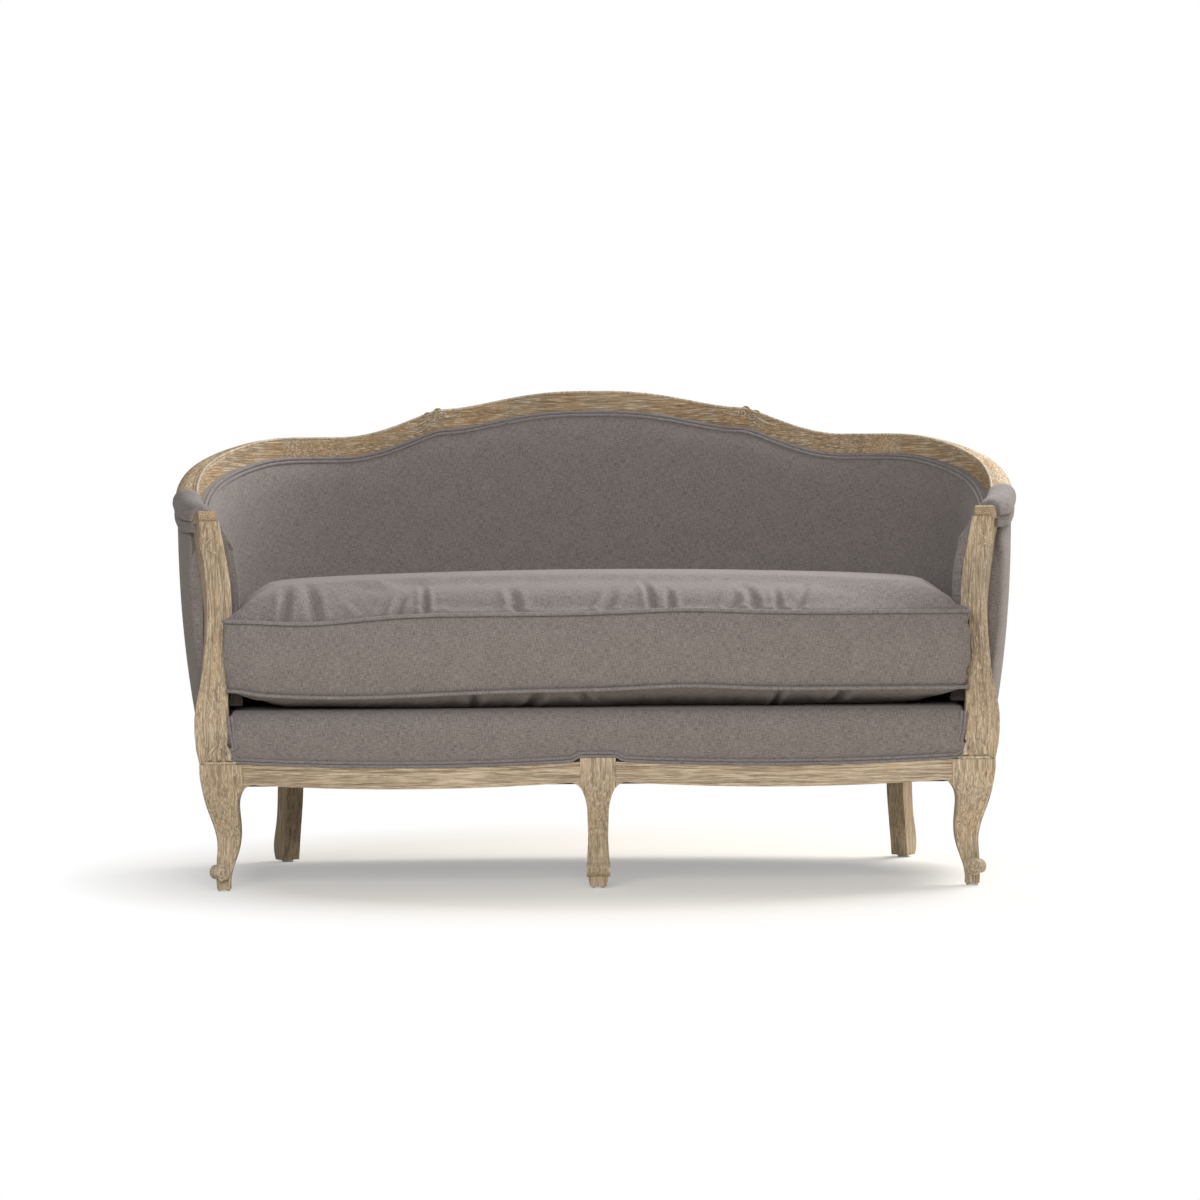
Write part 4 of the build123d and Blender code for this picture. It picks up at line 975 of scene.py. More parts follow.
class SETTEE_OT_carving(bpy.types.Operator):
    """Raised carving on the show-wood: beads, reeds, leaf strokes and volutes"""

    bl_idname = "settee.carving"
    bl_label = "Carving"

    def execute(self, context):
        context.view_layer.update()
        reach = arm_station(BEAD_SETBACK)
        inner = BEAD_INSET - RAIL_WIDTH / 2
        path = [wall_spot(s, inner, rail_top(s) - BEAD_DROP) for s in spread(-reach, reach, WALL_STEP)]
        self.place("rail_bead", [round_cord(path, BEAD_RADIUS)])
        strokes = []
        for way in (-1, 1):
            for middle in CREST_VOLUTES:
                volute = spiral(middle, CREST_VOLUTE_REACH, *CREST_VOLUTE_TURN)
                strokes.append(carved("crest_rail", way, volute, CREST_VOLUTE_RADIUS))
            for stroke in CREST_STROKES:
                strokes.append(carved("crest_rail", way, self.arc(*stroke), BEAD_RADIUS, CREST_STROKE_TIP))
        self.place("crest_carving", strokes)
        strokes = []
        for way, name in ((-1, "left"), (1, "right")):
            strokes += self.post_strokes(f"arm_post_{name}", way)
            strokes += self.leg_strokes(f"front_leg_{name}", way)
        self.place("upright_carving", strokes)
        return {"FINISHED"}

    def place(self, name, strokes):
        add_piece(name, joined(name, strokes), bpy.data.materials["limed carving"])

    def post_strokes(self, post, way):
        """Two reeds, a leaf and the ledge at the foot of a post."""
        strokes = [carved(post, way, self.reed(share), REED_RADIUS) for share in REED_SHARES]
        strokes += [carved(post, way, self.arc(*stroke), LEAF_RADIUS, FINE_TIP) for stroke in LEAF_STROKES]
        ledge = [(x, LEDGE_HEIGHT) for x in steps(*LEDGE_ENDS, 12)]
        return strokes + [carved(post, way, ledge, LEDGE_RADIUS)]

    def leg_strokes(self, leg, way):
        """Beads down both edges of a leg, and the volute on its foot."""
        strokes = []
        for side, inset, low, count in LEG_BEADS:
            edge = [(edge_at(LEG_EDGES, z, side) + inset, z) for z in steps(LEG_BEAD_TOP, low, count)]
            strokes.append(carved(leg, way, edge, REED_RADIUS))
        toe = front_of(leg, way * TOE[0], TOE[1]).y
        strokes.append(self.boss(way, toe - BOSS_STAND))
        volute = spiral(FOOT_VOLUTE, FOOT_VOLUTE_REACH, *FOOT_VOLUTE_TURN)
        path = [Vector((way * x, toe - VOLUTE_STAND, z)) for x, z in volute]
        return strokes + [round_cord(path, REED_RADIUS, FINE_TIP)]

    def boss(self, way, front):
        """Rounded end of the foot's scroll, facing the front."""
        x, z = FOOT_VOLUTE
        turns = [2 * pi * k / BOSS_SIDES for k in range(BOSS_SIDES)]
        rings = []
        for size, depth in BOSS_RINGS:
            reach = FOOT_VOLUTE_RADIUS * size
            y = front + depth
            rings.append([Vector((way * x + reach * cos(a), y, z + reach * sin(a))) for a in turns])
        return closed_mesh("boss", rings)

    def reed(self, share):
        """Up the front of the right post, at a share of its width."""
        points = []
        for z in steps(*REED_ENDS, 40):
            inner, outer = post_inner(z), edge_at(POST_EDGES, z, 2)
            points.append((inner + (outer - inner) * share, z))
        return points

    def arc(self, start, bend, end):
        """Points of a stroke from start to end, bowed towards bend."""
        points = []
        for t in steps(0, 1, 14):
            shares = ((1 - t) ** 2, 2 * t * (1 - t), t * t)
            points.append([sum(p * q for p, q in zip(shares, spots)) for spots in zip(start, bend, end)])
        return points


def cloth_of(scene, name):
    """The linen of that name, made when first asked for."""
    if name not in bpy.data.materials:
        finish = scene.settee_finish
        # The welts take the welt colour, painted lighter than the linen against the shade between the cords
        colour = finish.welt if name == "welt linen" else finish.linen
        linen_material(name, colour, finish, name != "cushion linen")
    return bpy.data.materials[name]


def add_cover(name, mesh, nodes):
    """A padded linen cover on the frame, in place of the named solids."""
    piece = add_piece(name, mesh, cloth_of(bpy.context.scene, "taupe linen"), nodes=nodes)


def padding_offset(s, z, thickness):
    """Offset of the inside padding's face: rolled in under the rail, and full where it meets the posts."""
    high = rail_bottom(s) + PAD_TUCK
    roll = quarter(max(0.0, (z - high + PAD_ROLL) / PAD_ROLL))
    plain = shift(s, z) - PAD_LIP - (thickness - PAD_BACK - PAD_LIP) * roll
    rise = max(0.0, (z - ARM_FRONT_LEVEL) / (high - ARM_FRONT_LEVEL))
    full = -PAD_LIP - ARM_FRONT_DEPTH * quarter(rise)
    share = ease((abs(s) - post_back_s + ARM_FRONT_RUN) / ARM_FRONT_RUN)
    return plain + (min(plain, full) - plain) * share


class SETTEE_OT_inside_padding(bpy.types.Operator):
    """Stuffed linen inside the back and arms, one smooth tub from post to post"""

    bl_idname = "settee.inside_padding"
    bl_label = "Inside Padding"

    def execute(self, context):
        thickness = context.scene.settee_stuffing.back_padding
        rows = []
        for s in spread(-post_back_s, post_back_s, WALL_STEP):
            low, high = PAD_BOTTOM, rail_bottom(s) + PAD_TUCK
            row = []
            for t in steps(0, 1, 48):
                z = low + (high - low) * sin(t * pi / 2)
                ripple = noise.noise(Vector((s * RIPPLE_RATE, z * RIPPLE_RATE, 0.3))) * RIPPLE_HEIGHT
                row.append(wall_spot(to_post(s, z), padding_offset(s, z, thickness) + ripple, z))
            for z in steps(high - PAD_TUCK * 2, low, 12):
                row.append(wall_spot(to_post(s, z), shift(s, z) + PAD_BACK, z))
            rows.append(row)
        mesh = closed_mesh("inside_padding", rows)
        nodes = ("inside_back_pad", "inside_arm_pad_left", "inside_arm_pad_right")
        add_cover("inside_padding", mesh, nodes)
        return {"FINISHED"}


class SETTEE_OT_outside_covers(bpy.types.Operator):
    """Linen stretched over the outside of the back and arms"""

    bl_idname = "settee.outside_covers"
    bl_label = "Outside Covers"

    def execute(self, context):
        parts = (
            ("outside_back_cover", -rear_leg_s, rear_leg_s, "outside_back_panel"),
            ("outside_arm_cover_right", rear_leg_s, post_back_s, "outside_arm_panel_right"),
            ("outside_arm_cover_left", -post_back_s, -rear_leg_s, "outside_arm_panel_left"),
        )
        for name, start, end, node in parts:
            rows = []
            for s in self.stations(start, end):
                heights = steps(SEAT_RAIL_TOP + COVER_PLAY, rail_bottom(s) - COVER_PLAY, 30)
                outer = [wall_spot(to_post(s, z), shift(s, z) + self.face(s, z), z) for z in heights]
                inner = [wall_spot(to_post(s, z), shift(s, z) + COVER_BACK, z) for z in reversed(heights)]
                rows.append(outer + inner)
            add_cover(name, closed_mesh(name, rows), (node,))
        return {"FINISHED"}

    def stations(self, start, end):
        """Even steps along a cover, closer together at both of its ends."""
        middle = spread(start + COVER_END, end - COVER_END, COVER_STEP)[1:-1]
        return steps(start, start + COVER_END, 10) + middle + steps(end - COVER_END, end, 10)

    def face(self, s, z):
        """Offset of the cover's face: drawn in at its seams, and rolled in to the post at the front."""
        seam = SEAM_DEPTH * exp(-abs(abs(s) - rear_leg_s) / SEAM_WIDTH)
        hem = HEM_DEPTH * exp(-(z - SEAT_RAIL_TOP) / HEM_WIDTH)
        roll = max(0.0, 1 - (post_back_s - abs(s)) / COVER_END)
        return PANEL_FACE - seam - hem - COVER_ROLL * (1 - quarter(roll))


class SETTEE_OT_arm_pads(bpy.types.Operator):
    """Small stuffed pads over the front of the arm rails, each above a folded band of linen"""

    bl_idname = "settee.arm_pads"
    bl_label = "Arm Pads"

    def execute(self, context):
        rise = context.scene.settee_stuffing.arm_pad_rise
        stations = spread(*[arm_station(setback) for setback in ARM_PAD_ENDS], ARM_PAD_STEP)
        for name, side in (("left", -1), ("right", 1)):
            domes, bands = [], []
            for s in stations:
                share = (s - stations[0]) / (stations[-1] - stations[0])
                domes.append([wall_spot(side * s, *spot) for spot in self.dome(s, share, rise)])
                bands.append([wall_spot(side * s, *spot) for spot in self.band(s)])
            parts = [closed_mesh("part", rows) for rows in (domes, bands)]
            mesh = joined(f"arm_pad_cover_{name}", parts)
            add_cover(mesh.name, mesh, (f"arm_pad_{name}",))
        return {"FINISHED"}

    def dome(self, s, share, rise):
        """Section across the pad: a full curve over the rail, tucked in along both lower edges."""
        swell = (1 - abs(2 * share - 1) ** PAD_END_POWER) ** PAD_SWELL_POWER
        inner, outer = -RAIL_WIDTH / 2 - ARM_PAD_INSIDE, rail_outer(s) + ARM_PAD_OUTSIDE
        middle, half = (inner + outer) / 2, (outer - inner) / 2
        base = rail_top(s) - ARM_PAD_SEAT
        crown = ARM_PAD_BODY + rise * swell
        section = []
        for k in range(DOME_POINTS + 1):
            turn = pi * k / DOME_POINTS
            section.append((middle - half * cos(turn), base + crown * sin(turn) ** DOME_POWER))
        section.append((outer - ARM_PAD_OUTSIDE, base - ARM_PAD_TUCK))
        section.append((inner + ARM_PAD_OUTSIDE, base - ARM_PAD_TUCK))
        return section

    def band(self, s):
        """Section of the folded band down the outside of the rail."""
        high, low = rail_top(s) - BAND_HEAD, rail_bottom(s) - BAND_LAP
        face = rail_outer(s) + BAND_STAND
        section = []
        for t in steps(0, 1, 14):
            swell = BAND_SWELL * sin(pi * t) ** 0.6 - BAND_FOLD * hill(t, 0.5, 0.05)
            section.append((face + swell, low + (high - low) * t))
        return section + [(BAND_BACK, high), (BAND_BACK, low)]


def seat_outline(inset, end, front_half, front):
    """Plan points anticlockwise from the right front corner, evenly spaced along the wall."""
    points = [Vector((front_half, front))]
    for s in spread(end, -end, DECK_STEP):
        point, out = wall_point(s)
        points.append(point + out * inset(s))
    points.append(Vector((-front_half, front)))
    points += [Vector((x, front)) for x in spread(-front_half, front_half, DECK_STEP)[1:-1]]
    return points


class SETTEE_OT_deck(bpy.types.Operator):
    """Padded deck under the cushion, with its border over the front rail"""

    bl_idname = "settee.deck"
    bl_label = "Seat Deck"

    def execute(self, context):
        swell = context.scene.settee_stuffing.border_swell
        front = RAIL_FACE_LINE + SLAB_GAP
        outline = seat_outline(lambda s: -lean(s) - SLAB_GAP, post_back_s, RAIL_END_X, front)
        rows = [[Vector((*(point * share), z)) for point in outline] for z, share in DECK_LAYERS]
        slab = closed_mesh("slab", rows)
        rows = [self.border(share, swell) for share in steps(-1, 1, 150)]
        border = closed_mesh("border", rows)
        mesh = joined("deck_cover", [slab, border])
        add_cover("deck_cover", mesh, ("seat_deck",))
        return {"FINISHED"}

    def border(self, share, swell):
        """Section of the front border at a share of its half width, bulging and rolled over at the top."""
        corner = max(0.0, (abs(share) - BORDER_CORNER_START) / BORDER_CORNER_RUN)
        high = DECK_TOP + BORDER_LIFT - BORDER_CORNER_DROP * corner**2
        low = border_edge(abs(share) * RAIL_END_X) + BORDER_FOOT
        row = []
        for t in steps(0, 1, 24):
            z = low + (high - low) * t
            x = share * (post_inner(z) - BORDER_GAP)
            roll = max(0.0, (t - BORDER_ROLL_START) / (1 - BORDER_ROLL_START))
            bulge = swell * sin(pi * min(1.0, t / 0.9)) - BORDER_ROLL * (1 - quarter(roll))
            row.append(Vector((x, RAIL_FACE_LINE + BORDER_GAP - bulge, z)))
        x = row[-1].x
        back = [(BORDER_DEPTH, high), (BORDER_DEPTH, high - BORDER_FOLD)]
        back += [(BORDER_BACK, high - BORDER_ROLL), (BORDER_BACK, low)]
        return row + [Vector((x, RAIL_FACE_LINE + depth, z)) for depth, z in back]


def border_edge(x):
    """Height of the wood under the deck's border: the rail's dipping edge, humped over the centre leg."""
    share = max(0.0, (x - CENTRE_BLOCK) / (RAIL_END_X - CENTRE_BLOCK))
    hump = (CENTRE_LEG_HEIGHT - SEAT_RAIL_TOP) * (1 - ease((x - CENTRE_BLOCK) / HUMP_RUN))
    return SEAT_RAIL_TOP - FRONT_RAIL_DIP * 4 * share * (1 - share) + hump


def cushion_outline():
    """Plan of the cushion: a bowed front, short rounded ears before the posts, then along the padding."""
    front = CUSHION_FRONT_LINE
    centre = Vector((CUSHION_EAR_X - EAR_REACH, front + EAR_DEPTH))
    right = [centre + Vector((EAR_REACH * sin(a), -EAR_DEPTH * cos(a))) for a in steps(0, pi / 2, 8)]
    right += [Vector((CUSHION_SIDE_X + out, front + back)) for out, back in EAR_NECK]
    wall = []
    wall_end = arm_station(CUSHION_WALL_SETBACK)
    for s in spread(wall_end, -wall_end, CUSHION_STEP):
        point, out = wall_point(s)
        wall.append(point + out * (shift(s, PAD_BOTTOM) - WALL_GAP))
    side = [right[-1] + (wall[0] - right[-1]) * k / 12 for k in range(1, 12)]
    half = right + side
    mirrored = [Vector((-point.x, point.y)) for point in reversed(half)]
    edge = right[0].x
    across = spread(-edge, edge, CUSHION_STEP)[1:-1]
    bow = [Vector((x, front - FRONT_BOW * (1 - (x / edge) ** 2))) for x in across]
    return half + wall + mirrored + bow


def hill(x, middle, width):
    return exp(-(((x - middle) / width) ** 2))


def drawn_in(x, pull):
    """Distance x from the middle, pulled inwards at the ends of the cushion."""
    share = ease((abs(x) - ENDS_START) / ENDS_RUN)
    return x - pull * share * (1 if x > 0 else -1)


def seam_level(point, level, waves):
    """Height of a cushion seam, which wanders a little along the front."""
    front = ease((CREASED_PART - point.y) / CREASED_RUN)
    return level + front * sum(rise * hill(point.x, middle, width) for rise, middle, width in waves)


def capped(move, most):
    return move * min(1.0, most / max(move.length, 1e-9))


def inflate(piece, pinned, most):
    """Blows a closed piece up between its sewn seams, and returns how far each point moved."""
    scene = bpy.context.scene
    before = [vertex.co.copy() for vertex in piece.data.vertices]
    piece.vertex_groups.new(name="seams").add(pinned, 1.0, "REPLACE")
    cloth = piece.modifiers.new("inflate", "CLOTH")
    for name, value in CLOTH_SETTINGS.items():
        setattr(cloth.settings, name, value)
    cloth.settings.effector_weights.gravity = 0
    cloth.collision_settings.use_collision = False
    cloth.point_cache.frame_end = SIMULATED_FRAMES
    for step in range(1, SIMULATED_FRAMES + 1):
        scene.frame_set(step)
    shaped = piece.evaluated_get(bpy.context.evaluated_depsgraph_get())
    moves = [vertex.co - old for vertex, old in zip(shaped.data.vertices, before)]
    piece.modifiers.remove(cloth)
    scene.frame_set(1)
    return [capped(move, most) for move in moves]


class SETTEE_OT_cushion(bpy.types.Operator):
    """Loose box cushion: crowned top, swelling border, creased along its corded seams"""

    bl_idname = "settee.cushion"
    bl_label = "Seat Cushion"

    def execute(self, context):
        stuffing = context.scene.settee_stuffing
        self.outline = cushion_outline()
        self.middle = Vector(CUSHION_MIDDLE)
        self.low, self.high = stuffing.cushion_low_welt, stuffing.cushion_top_welt
        self.edge = KDTree(len(self.outline))
        for i, point in enumerate(self.outline):
            self.edge.insert((*point, 0), i)
        self.edge.balance()
        seams = [
            self.seam(self.low, LOW_WAVES, LOW_SEAM_PULL), self.seam(self.high, TOP_WAVES, TOP_SEAM_PULL)
        ]
        piece = add_piece(
            "cushion_cover", self.block(stuffing, seams), cloth_of(context.scene, "cushion linen"),
            "cushion", ("seat_cushion_cover", "seat_cushion_core"),
        )
        self.apply(piece, "REMESH", mode="VOXEL", voxel_size=VOXEL)
        self.stuff(piece, seams)
        self.apply(piece, "SUBSURF", levels=1)
        self.crease(piece)
        piece.data.polygons.foreach_set("use_smooth", [True] * len(piece.data.polygons))
        radius = stuffing.cushion_welt_radius
        cords = []
        for seam in seams:
            path = []
            for point in seam:
                stand = CUSHION_WELT_STAND if point.y < FRONT_SIDE else 0.0
                path.append(point - Vector((0, stand, 0)))
            cords.append(grid_mesh("cord", tube_rows(path, radius, closed=True), around=True))
        welts = joined("cushion_welts", cords)
        add_piece("cushion_welts", welts, cloth_of(context.scene, "welt linen"), "cushion")
        return {"FINISHED"}

    def seam(self, level, waves, pull):
        """Line of one seam round the cushion."""
        line = []
        for point in self.outline:
            line.append(Vector((drawn_in(point.x, pull), point.y, seam_level(point, level, waves))))
        return line

    def block(self, stuffing, seams):
        """The cushion as cut and sewn: two panels and the border between the seams."""
        shares = [1 - 0.98 * (k / PANEL_ROWS) ** PANEL_POWER for k in range(PANEL_ROWS + 1)]
        low, high = seams
        drop = CUSHION_BOTTOM - self.low
        rows = [
            [self.panel(spot, share, self.low, drop, LOW_SOFTNESS) for spot in low]
            for share in reversed(shares)
        ]
        for t in steps(0, 1, 10)[1:-1]:
            swell = stuffing.cushion_swell * sin(pi * t) ** 0.8
            ring = []
            for a, b in zip(low, high):
                push = -swell if a.y < FRONT_SIDE else 0.0
                spot = a.lerp(b, t)
                ring.append(Vector((drawn_in(spot.x, push), spot.y + push, spot.z)))
            rows.append(ring)
        rise = stuffing.cushion_crown
        rows += [
            [self.panel(spot, share, self.high, rise, TOP_SOFTNESS) for spot in high] for share in shares
        ]
        return closed_mesh("cushion_cover", rows)

    def panel(self, seam, share, level, rise, softness):
        """Point of a panel, a share of the way from its middle to the seam, which wanders off level."""
        spot = self.middle + (seam.xy - self.middle) * share
        away = self.edge.find((*spot, 0))[2]
        full = 1 - CROWN_FALL * (spot.x / CROWN_HALF) ** 2
        edge = level + (seam.z - level) * share**8
        firm = softness * (1 - FIRMER_ENDS * ease((abs(spot.x) - FIRMER_START) / FIRMER_RUN))
        return Vector((*spot, edge + rise * full * (1 - exp(-away / firm))))

    def apply(self, piece, kind, **settings):
        """Rebuilds the piece's mesh through one modifier."""
        modifier = piece.modifiers.new("shape", kind)
        for name, value in settings.items():
            setattr(modifier, name, value)
        shaped = piece.evaluated_get(bpy.context.evaluated_depsgraph_get())
        mesh = bpy.data.meshes.new_from_object(shaped)
        piece.modifiers.remove(modifier)
        mesh.materials.clear()
        mesh.materials.append(piece.data.materials[0])
        piece.data = mesh

    def stuff(self, piece, seams):
        """Inflates the cushion, holding its seams, its seat on the deck and its sides along the padding."""
        sewn = KDTree(2 * len(self.outline))
        for i, point in enumerate(seams[0] + seams[1]):
            sewn.insert(point, i)
        sewn.balance()
        pinned = [vertex.index for vertex in piece.data.vertices if sewn.find(vertex.co)[2] < SEAM_GRIP]
        for vertex, move in zip(piece.data.vertices, inflate(piece, pinned, MOST_SWELL)):
            between = self.low - SIDE_MARGIN < vertex.co.z < self.high + SIDE_MARGIN
            if between and vertex.co.y > CUSHION_FRONT_LINE + FRONT_MARGIN:
                move = capped(move, MOST_SIDE_SWELL)
            vertex.co += move
            vertex.co.z = max(vertex.co.z, CUSHION_BOTTOM)

    def crease(self, piece):
        """Short soft creases where the panels are gathered into the front seams."""
        normals = [vertex.normal.copy() for vertex in piece.data.vertices]
        for vertex, normal in zip(piece.data.vertices, normals):
            if vertex.co.y > CREASED_PART:
                continue
            top = seam_level(vertex.co, self.high, TOP_WAVES)
            low = seam_level(vertex.co, self.low, LOW_WAVES)
            if vertex.co.z > top + PANEL_MARGIN:
                places, rise = TOP_CREASES, vertex.co.z - top
            elif vertex.co.z < low - PANEL_MARGIN:
                places, rise = LOW_CREASES, low - vertex.co.z
            else:
                continue
            run = Vector((vertex.co.y - CUSHION_FRONT_LINE, rise)).length
            vertex.co += normal * sum(self.fold(vertex.co.x, run, i, x) for i, x in enumerate(places))

    def fold(self, x, run, index, middle):
        """Depth of one crease, which leans a little and fades away from the seam."""
        length = CREASE_LENGTH + CREASE_LENGTH_VARIES * sin(index * 2.4)
        width = CREASE_WIDTH + CREASE_WIDTH_VARIES * sin(index * 1.7)
        aside = x - middle - CREASE_LEAN * run * sin(index * 4.1)
        fade = ease(run / CREASE_START) * (1 - ease((run - 0.4 * length) / (0.6 * length)))
        ridges = RIDGE_SHARE * (hill(aside, 2 * width, width) + hill(aside, -2 * width, width))
        return CREASE_DEPTH * fade * (ridges - hill(aside, 0, width))


class SETTEE_OT_welts(bpy.types.Operator):
    """Double corded welts under the rail and round the deck, a cord down each post and the arms' piping"""

    bl_idname = "settee.welts"
    bl_label = "Welts"

    def execute(self, context):
        stuffing = context.scene.settee_stuffing
        radius = stuffing.welt_radius
        cords = []
        for row in (0, 1):
            drop = 0.5 * radius + row * 2 * radius
            path = []
            for s in spread(-post_back_s, post_back_s, WALL_STEP):
                z = rail_bottom(s) - drop
                face = padding_offset(s, z, stuffing.back_padding)
                path.append(wall_spot(s, face - BACK_WELT_STAND * radius, z))
            cords.append(round_cord(path, radius))
        for side in (-1, 1):
            cords.append(round_cord(self.post_path(side), radius))
            heights = steps(PAD_BOTTOM + WELT_END, rail_bottom(post_back_s) - WELT_END, 50)
            path = []
            for z in heights:
                face = padding_offset(post_back_s, z, stuffing.back_padding)
                station = side * (to_post(post_back_s, z) - PIPING_GAP)
                path.append(wall_spot(station, face + PIPING_SINK, z))
            cords.append(round_cord(path, stuffing.piping_radius))
        deck_cords = [round_cord(self.deck_path(row * 2 * radius, radius), radius) for row in (0, 1)]
        cloth = cloth_of(context.scene, "welt linen")
        for name, strands, node in (
            ("back_double_welt", cords, "back_welt"), ("deck_double_welt", deck_cords, "deck_welt")
        ):
            add_piece(name, joined(name, strands), cloth, nodes=(node,))
        return {"FINISHED"}

    def post_path(self, side):
        """Down the inner back edge of a post, on the front end of the arm's padding."""
        path = []
        for z in steps(PAD_BOTTOM + WELT_END, rail_bottom(post_back_s) - POST_WELT_DROP, 40):
            station = to_post(post_back_s, z)
            end, out = wall_point(station)
            offset = (post_inner(z) - POST_WELT_GAP - end.x) / out.x
            path.append(wall_spot(side * station, offset, z))
        return path

    def deck_path(self, inset, radius):
        """Down one post, along the front rail with a hump over the centre leg, and up the other post."""
        corner = DECK_WELT_CORNER
        heights = steps(DECK_TOP - DECK_WELT_DROP, SEAT_RAIL_TOP + corner, 14)
        side = [(post_inner(z) - POST_WELT_GAP - inset, z) for z in heights]
        reach, turn_z = side[-1]
        base = border_edge(RAIL_END_X) + DECK_WELT_LIFT + inset
        turn = [
            (reach - corner * (1 - cos(a)), base + (turn_z - base) * (1 - sin(a)))
            for a in steps(0, pi / 2, 8)[1:]
        ]
        ends = side + turn
        across = spread(ends[-1][0], -ends[-1][0], DECK_WELT_STEP)[1:-1]
        flat = [(x, border_edge(abs(x)) + DECK_WELT_LIFT + inset) for x in across]
        outline = ends + flat + [(-x, z) for x, z in reversed(ends)]
        return [Vector((x, RAIL_FACE_LINE - radius * DECK_WELT_STAND, z)) for x, z in outline]


class SETTEE_OT_dust_cover(bpy.types.Operator):
    """Thin black cloth tacked under the seat frame, sagging a little between its edges"""

    bl_idname = "settee.dust_cover"
    bl_label = "Dust Cover"

    def execute(self, context):
        low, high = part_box("dust_cover")
        outline = seat_outline(lambda s: -lean(s), post_back_s, RAIL_END_X, low.y)
        rows = []
        for share in steps(1, INNER_SHARE, 24):
            sag = DUST_SAG * (1 - share**2)
            rows.append([Vector((*(point * share), low.z - sag)) for point in outline])
        mesh = grid_mesh("dust_cloth", rows, around=True)
        cloth = plain_material("black cambric", (0.012, 0.012, 0.012), 0.95)
        piece = add_piece("dust_cloth", mesh, cloth, nodes=("dust_cover",))
        turns = zip(outline, outline[1:] + outline[:1])
        area = abs(sum(a.x * b.y - b.x * a.y for a, b in turns)) / 2
        return {"FINISHED"}


# Lamps by name, place, size and power, and where they point
LAMP_TARGET = Vector((0, 0, 0.4))
LAMPS = (
    ("key", (1.6, 0.95, 2.4), 1.7, 100),
    ("side", (3.4, -0.2, 1.5), 1.2, 6),
    ("fill", (-0.4, -2.6, 1.5), 1.8, 45),
)

# The floor's colour, the distances over which it fades to white, its least white, and the sky's light
FLOOR_COLOUR = (0.95, 0.885, 0.78, 1)
SHADOW_FADE = (0.42, 0.95)
SHADOW_LIFT = 0.34
SKY_LIGHT = 0.12

# The photograph's camera: place, lens, and turns in degrees
CAMERA_PLACE = (-0.07, LEG_LINE - 7.0, 0.744)
CAMERA_LENS = 123.9
CAMERA_YAW = -0.622
CAMERA_TILT = 2.08
CAMERA_ROLL = -0.41


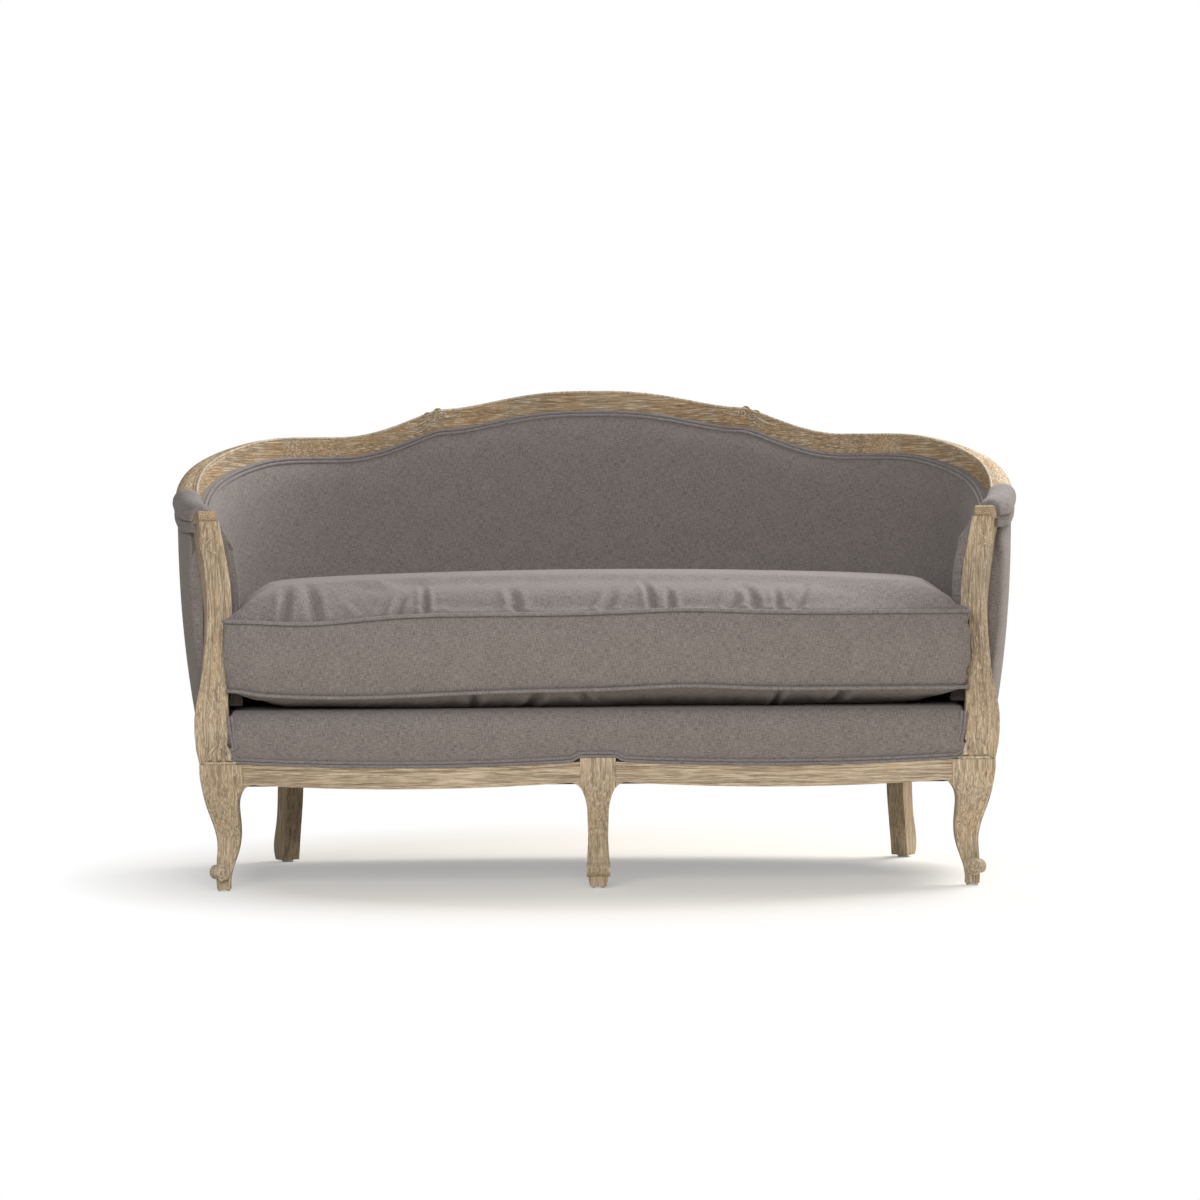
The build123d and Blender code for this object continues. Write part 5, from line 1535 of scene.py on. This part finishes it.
class SETTEE_OT_stage(bpy.types.Operator):
    """Pale floor, soft lights and the photograph's camera"""

    bl_idname = "settee.stage"
    bl_label = "Stage"

    def execute(self, context):
        scene = context.scene
        scene.view_settings.view_transform = "Standard"
        self.floor()
        self.world(scene)
        for name, place, size, power in LAMPS:
            self.lamp(name, place, size, power)
        self.camera(scene)
        return {"FINISHED"}

    def floor(self):
        rows = [[Vector((x, y, 0)) for x in (-9, 9)] for y in (-9, 9)]
        floor = bpy.data.objects.new("floor", grid_mesh("floor", rows))
        bpy.context.scene.collection.objects.link(floor)
        material, w, shader = new_material("pale floor")
        set_sockets(shader, {"Base Color": FLOOR_COLOUR, "Roughness": 0.9, "Specular IOR Level": 0.1})
        place = w.node("ShaderNodeTexCoord").outputs["Object"]
        reach = w.node("ShaderNodeVectorMath", operation="LENGTH")
        w.link(place, reach.inputs[0])
        fade = w.math("MAXIMUM", w.ramp(reach.outputs["Value"], *SHADOW_FADE), SHADOW_LIFT)
        white = w.node("ShaderNodeEmission")
        blend = w.node("ShaderNodeMixShader")
        w.link(w.times(fade, self.seen(w)), blend.inputs[0])
        w.link(shader.outputs["BSDF"], blend.inputs[1])
        w.link(white.outputs["Emission"], blend.inputs[2])
        output = next(node for node in w.tree.nodes if node.type == "OUTPUT_MATERIAL")
        w.link(blend.outputs[0], output.inputs["Surface"])
        floor.data.materials.append(material)

    def seen(self, w):
        """1 on rays from the camera, a mirror or glass, where the stage shows white."""
        path = w.node("ShaderNodeLightPath")
        mirrored = w.math("MAXIMUM", path.outputs["Is Glossy Ray"], path.outputs["Is Transmission Ray"])
        return w.math("MAXIMUM", path.outputs["Is Camera Ray"], mirrored)

    def world(self, scene):
        world = bpy.data.worlds.new("studio")
        scene.world = world
        world.use_nodes = True
        world.node_tree.nodes.clear()
        w = Wiring(world.node_tree)
        output = w.node("ShaderNodeOutputWorld")
        background = w.node("ShaderNodeBackground")
        background.inputs["Color"].default_value = (1, 1, 1, 1)
        level = w.plus(SKY_LIGHT, w.times(self.seen(w), 1 - SKY_LIGHT))
        w.link(level, background.inputs["Strength"])
        w.link(background.outputs[0], output.inputs["Surface"])

    def lamp(self, name, place, size, power):
        light = bpy.data.lights.new(name, "AREA")
        light.energy = power
        light.size = size
        lamp = bpy.data.objects.new(name, light)
        lamp.location = place
        lamp.rotation_euler = (LAMP_TARGET - Vector(place)).to_track_quat("-Z", "Y").to_euler()
        bpy.context.scene.collection.objects.link(lamp)

    def camera(self, scene):
        lens = bpy.data.cameras.new("camera")
        lens.sensor_width = 36
        lens.lens = CAMERA_LENS
        lens.clip_end = 50
        camera = bpy.data.objects.new("camera", lens)
        camera.matrix_world = (
            Matrix.Translation(CAMERA_PLACE)
            @ Matrix.Rotation(radians(CAMERA_YAW), 4, "Z")
            @ Matrix.Rotation(radians(90 - CAMERA_TILT), 4, "X")
            @ Matrix.Rotation(radians(CAMERA_ROLL), 4, "Z")
        )
        scene.collection.objects.link(camera)
        scene.camera = camera


OPERATORS = (
    SETTEE_OT_finish_wood,
    SETTEE_OT_carving,
    SETTEE_OT_inside_padding,
    SETTEE_OT_outside_covers,
    SETTEE_OT_arm_pads,
    SETTEE_OT_deck,
    SETTEE_OT_cushion,
    SETTEE_OT_welts,
    SETTEE_OT_dust_cover,
    SETTEE_OT_stage,
)


class SETTEE_PT_upholstery(bpy.types.Panel):
    """Lists the steps that dress the settee"""

    bl_idname = "SETTEE_PT_upholstery"
    bl_label = "Settee"
    bl_space_type = "VIEW_3D"
    bl_region_type = "UI"
    bl_category = "Settee"

    def draw(self, context):
        for group in (context.scene.settee_finish, context.scene.settee_stuffing):
            for setting in group.bl_rna.properties:
                if setting.identifier not in ("rna_type", "name"):
                    self.layout.prop(group, setting.identifier)
        for operator in OPERATORS:
            self.layout.operator(operator.bl_idname)


CLASSES = (SetteeFinish, SetteeStuffing, *OPERATORS, SETTEE_PT_upholstery)


def register():
    for item in CLASSES:
        bpy.utils.register_class(item)
    bpy.types.Scene.settee_finish = bpy.props.PointerProperty(type=SetteeFinish)
    bpy.types.Scene.settee_stuffing = bpy.props.PointerProperty(type=SetteeStuffing)


def unregister():
    del bpy.types.Scene.settee_stuffing
    del bpy.types.Scene.settee_finish
    for item in reversed(CLASSES):
        bpy.utils.unregister_class(item)


def main():
    register()
    bpy.ops.settee.finish_wood()
    bpy.ops.settee.carving()
    bpy.ops.settee.inside_padding()
    bpy.ops.settee.outside_covers()
    bpy.ops.settee.arm_pads()
    bpy.ops.settee.deck()
    bpy.ops.settee.cushion()
    bpy.ops.settee.welts()
    bpy.ops.settee.dust_cover()
    bpy.ops.settee.stage()


if __name__ == "__main__":
    main()
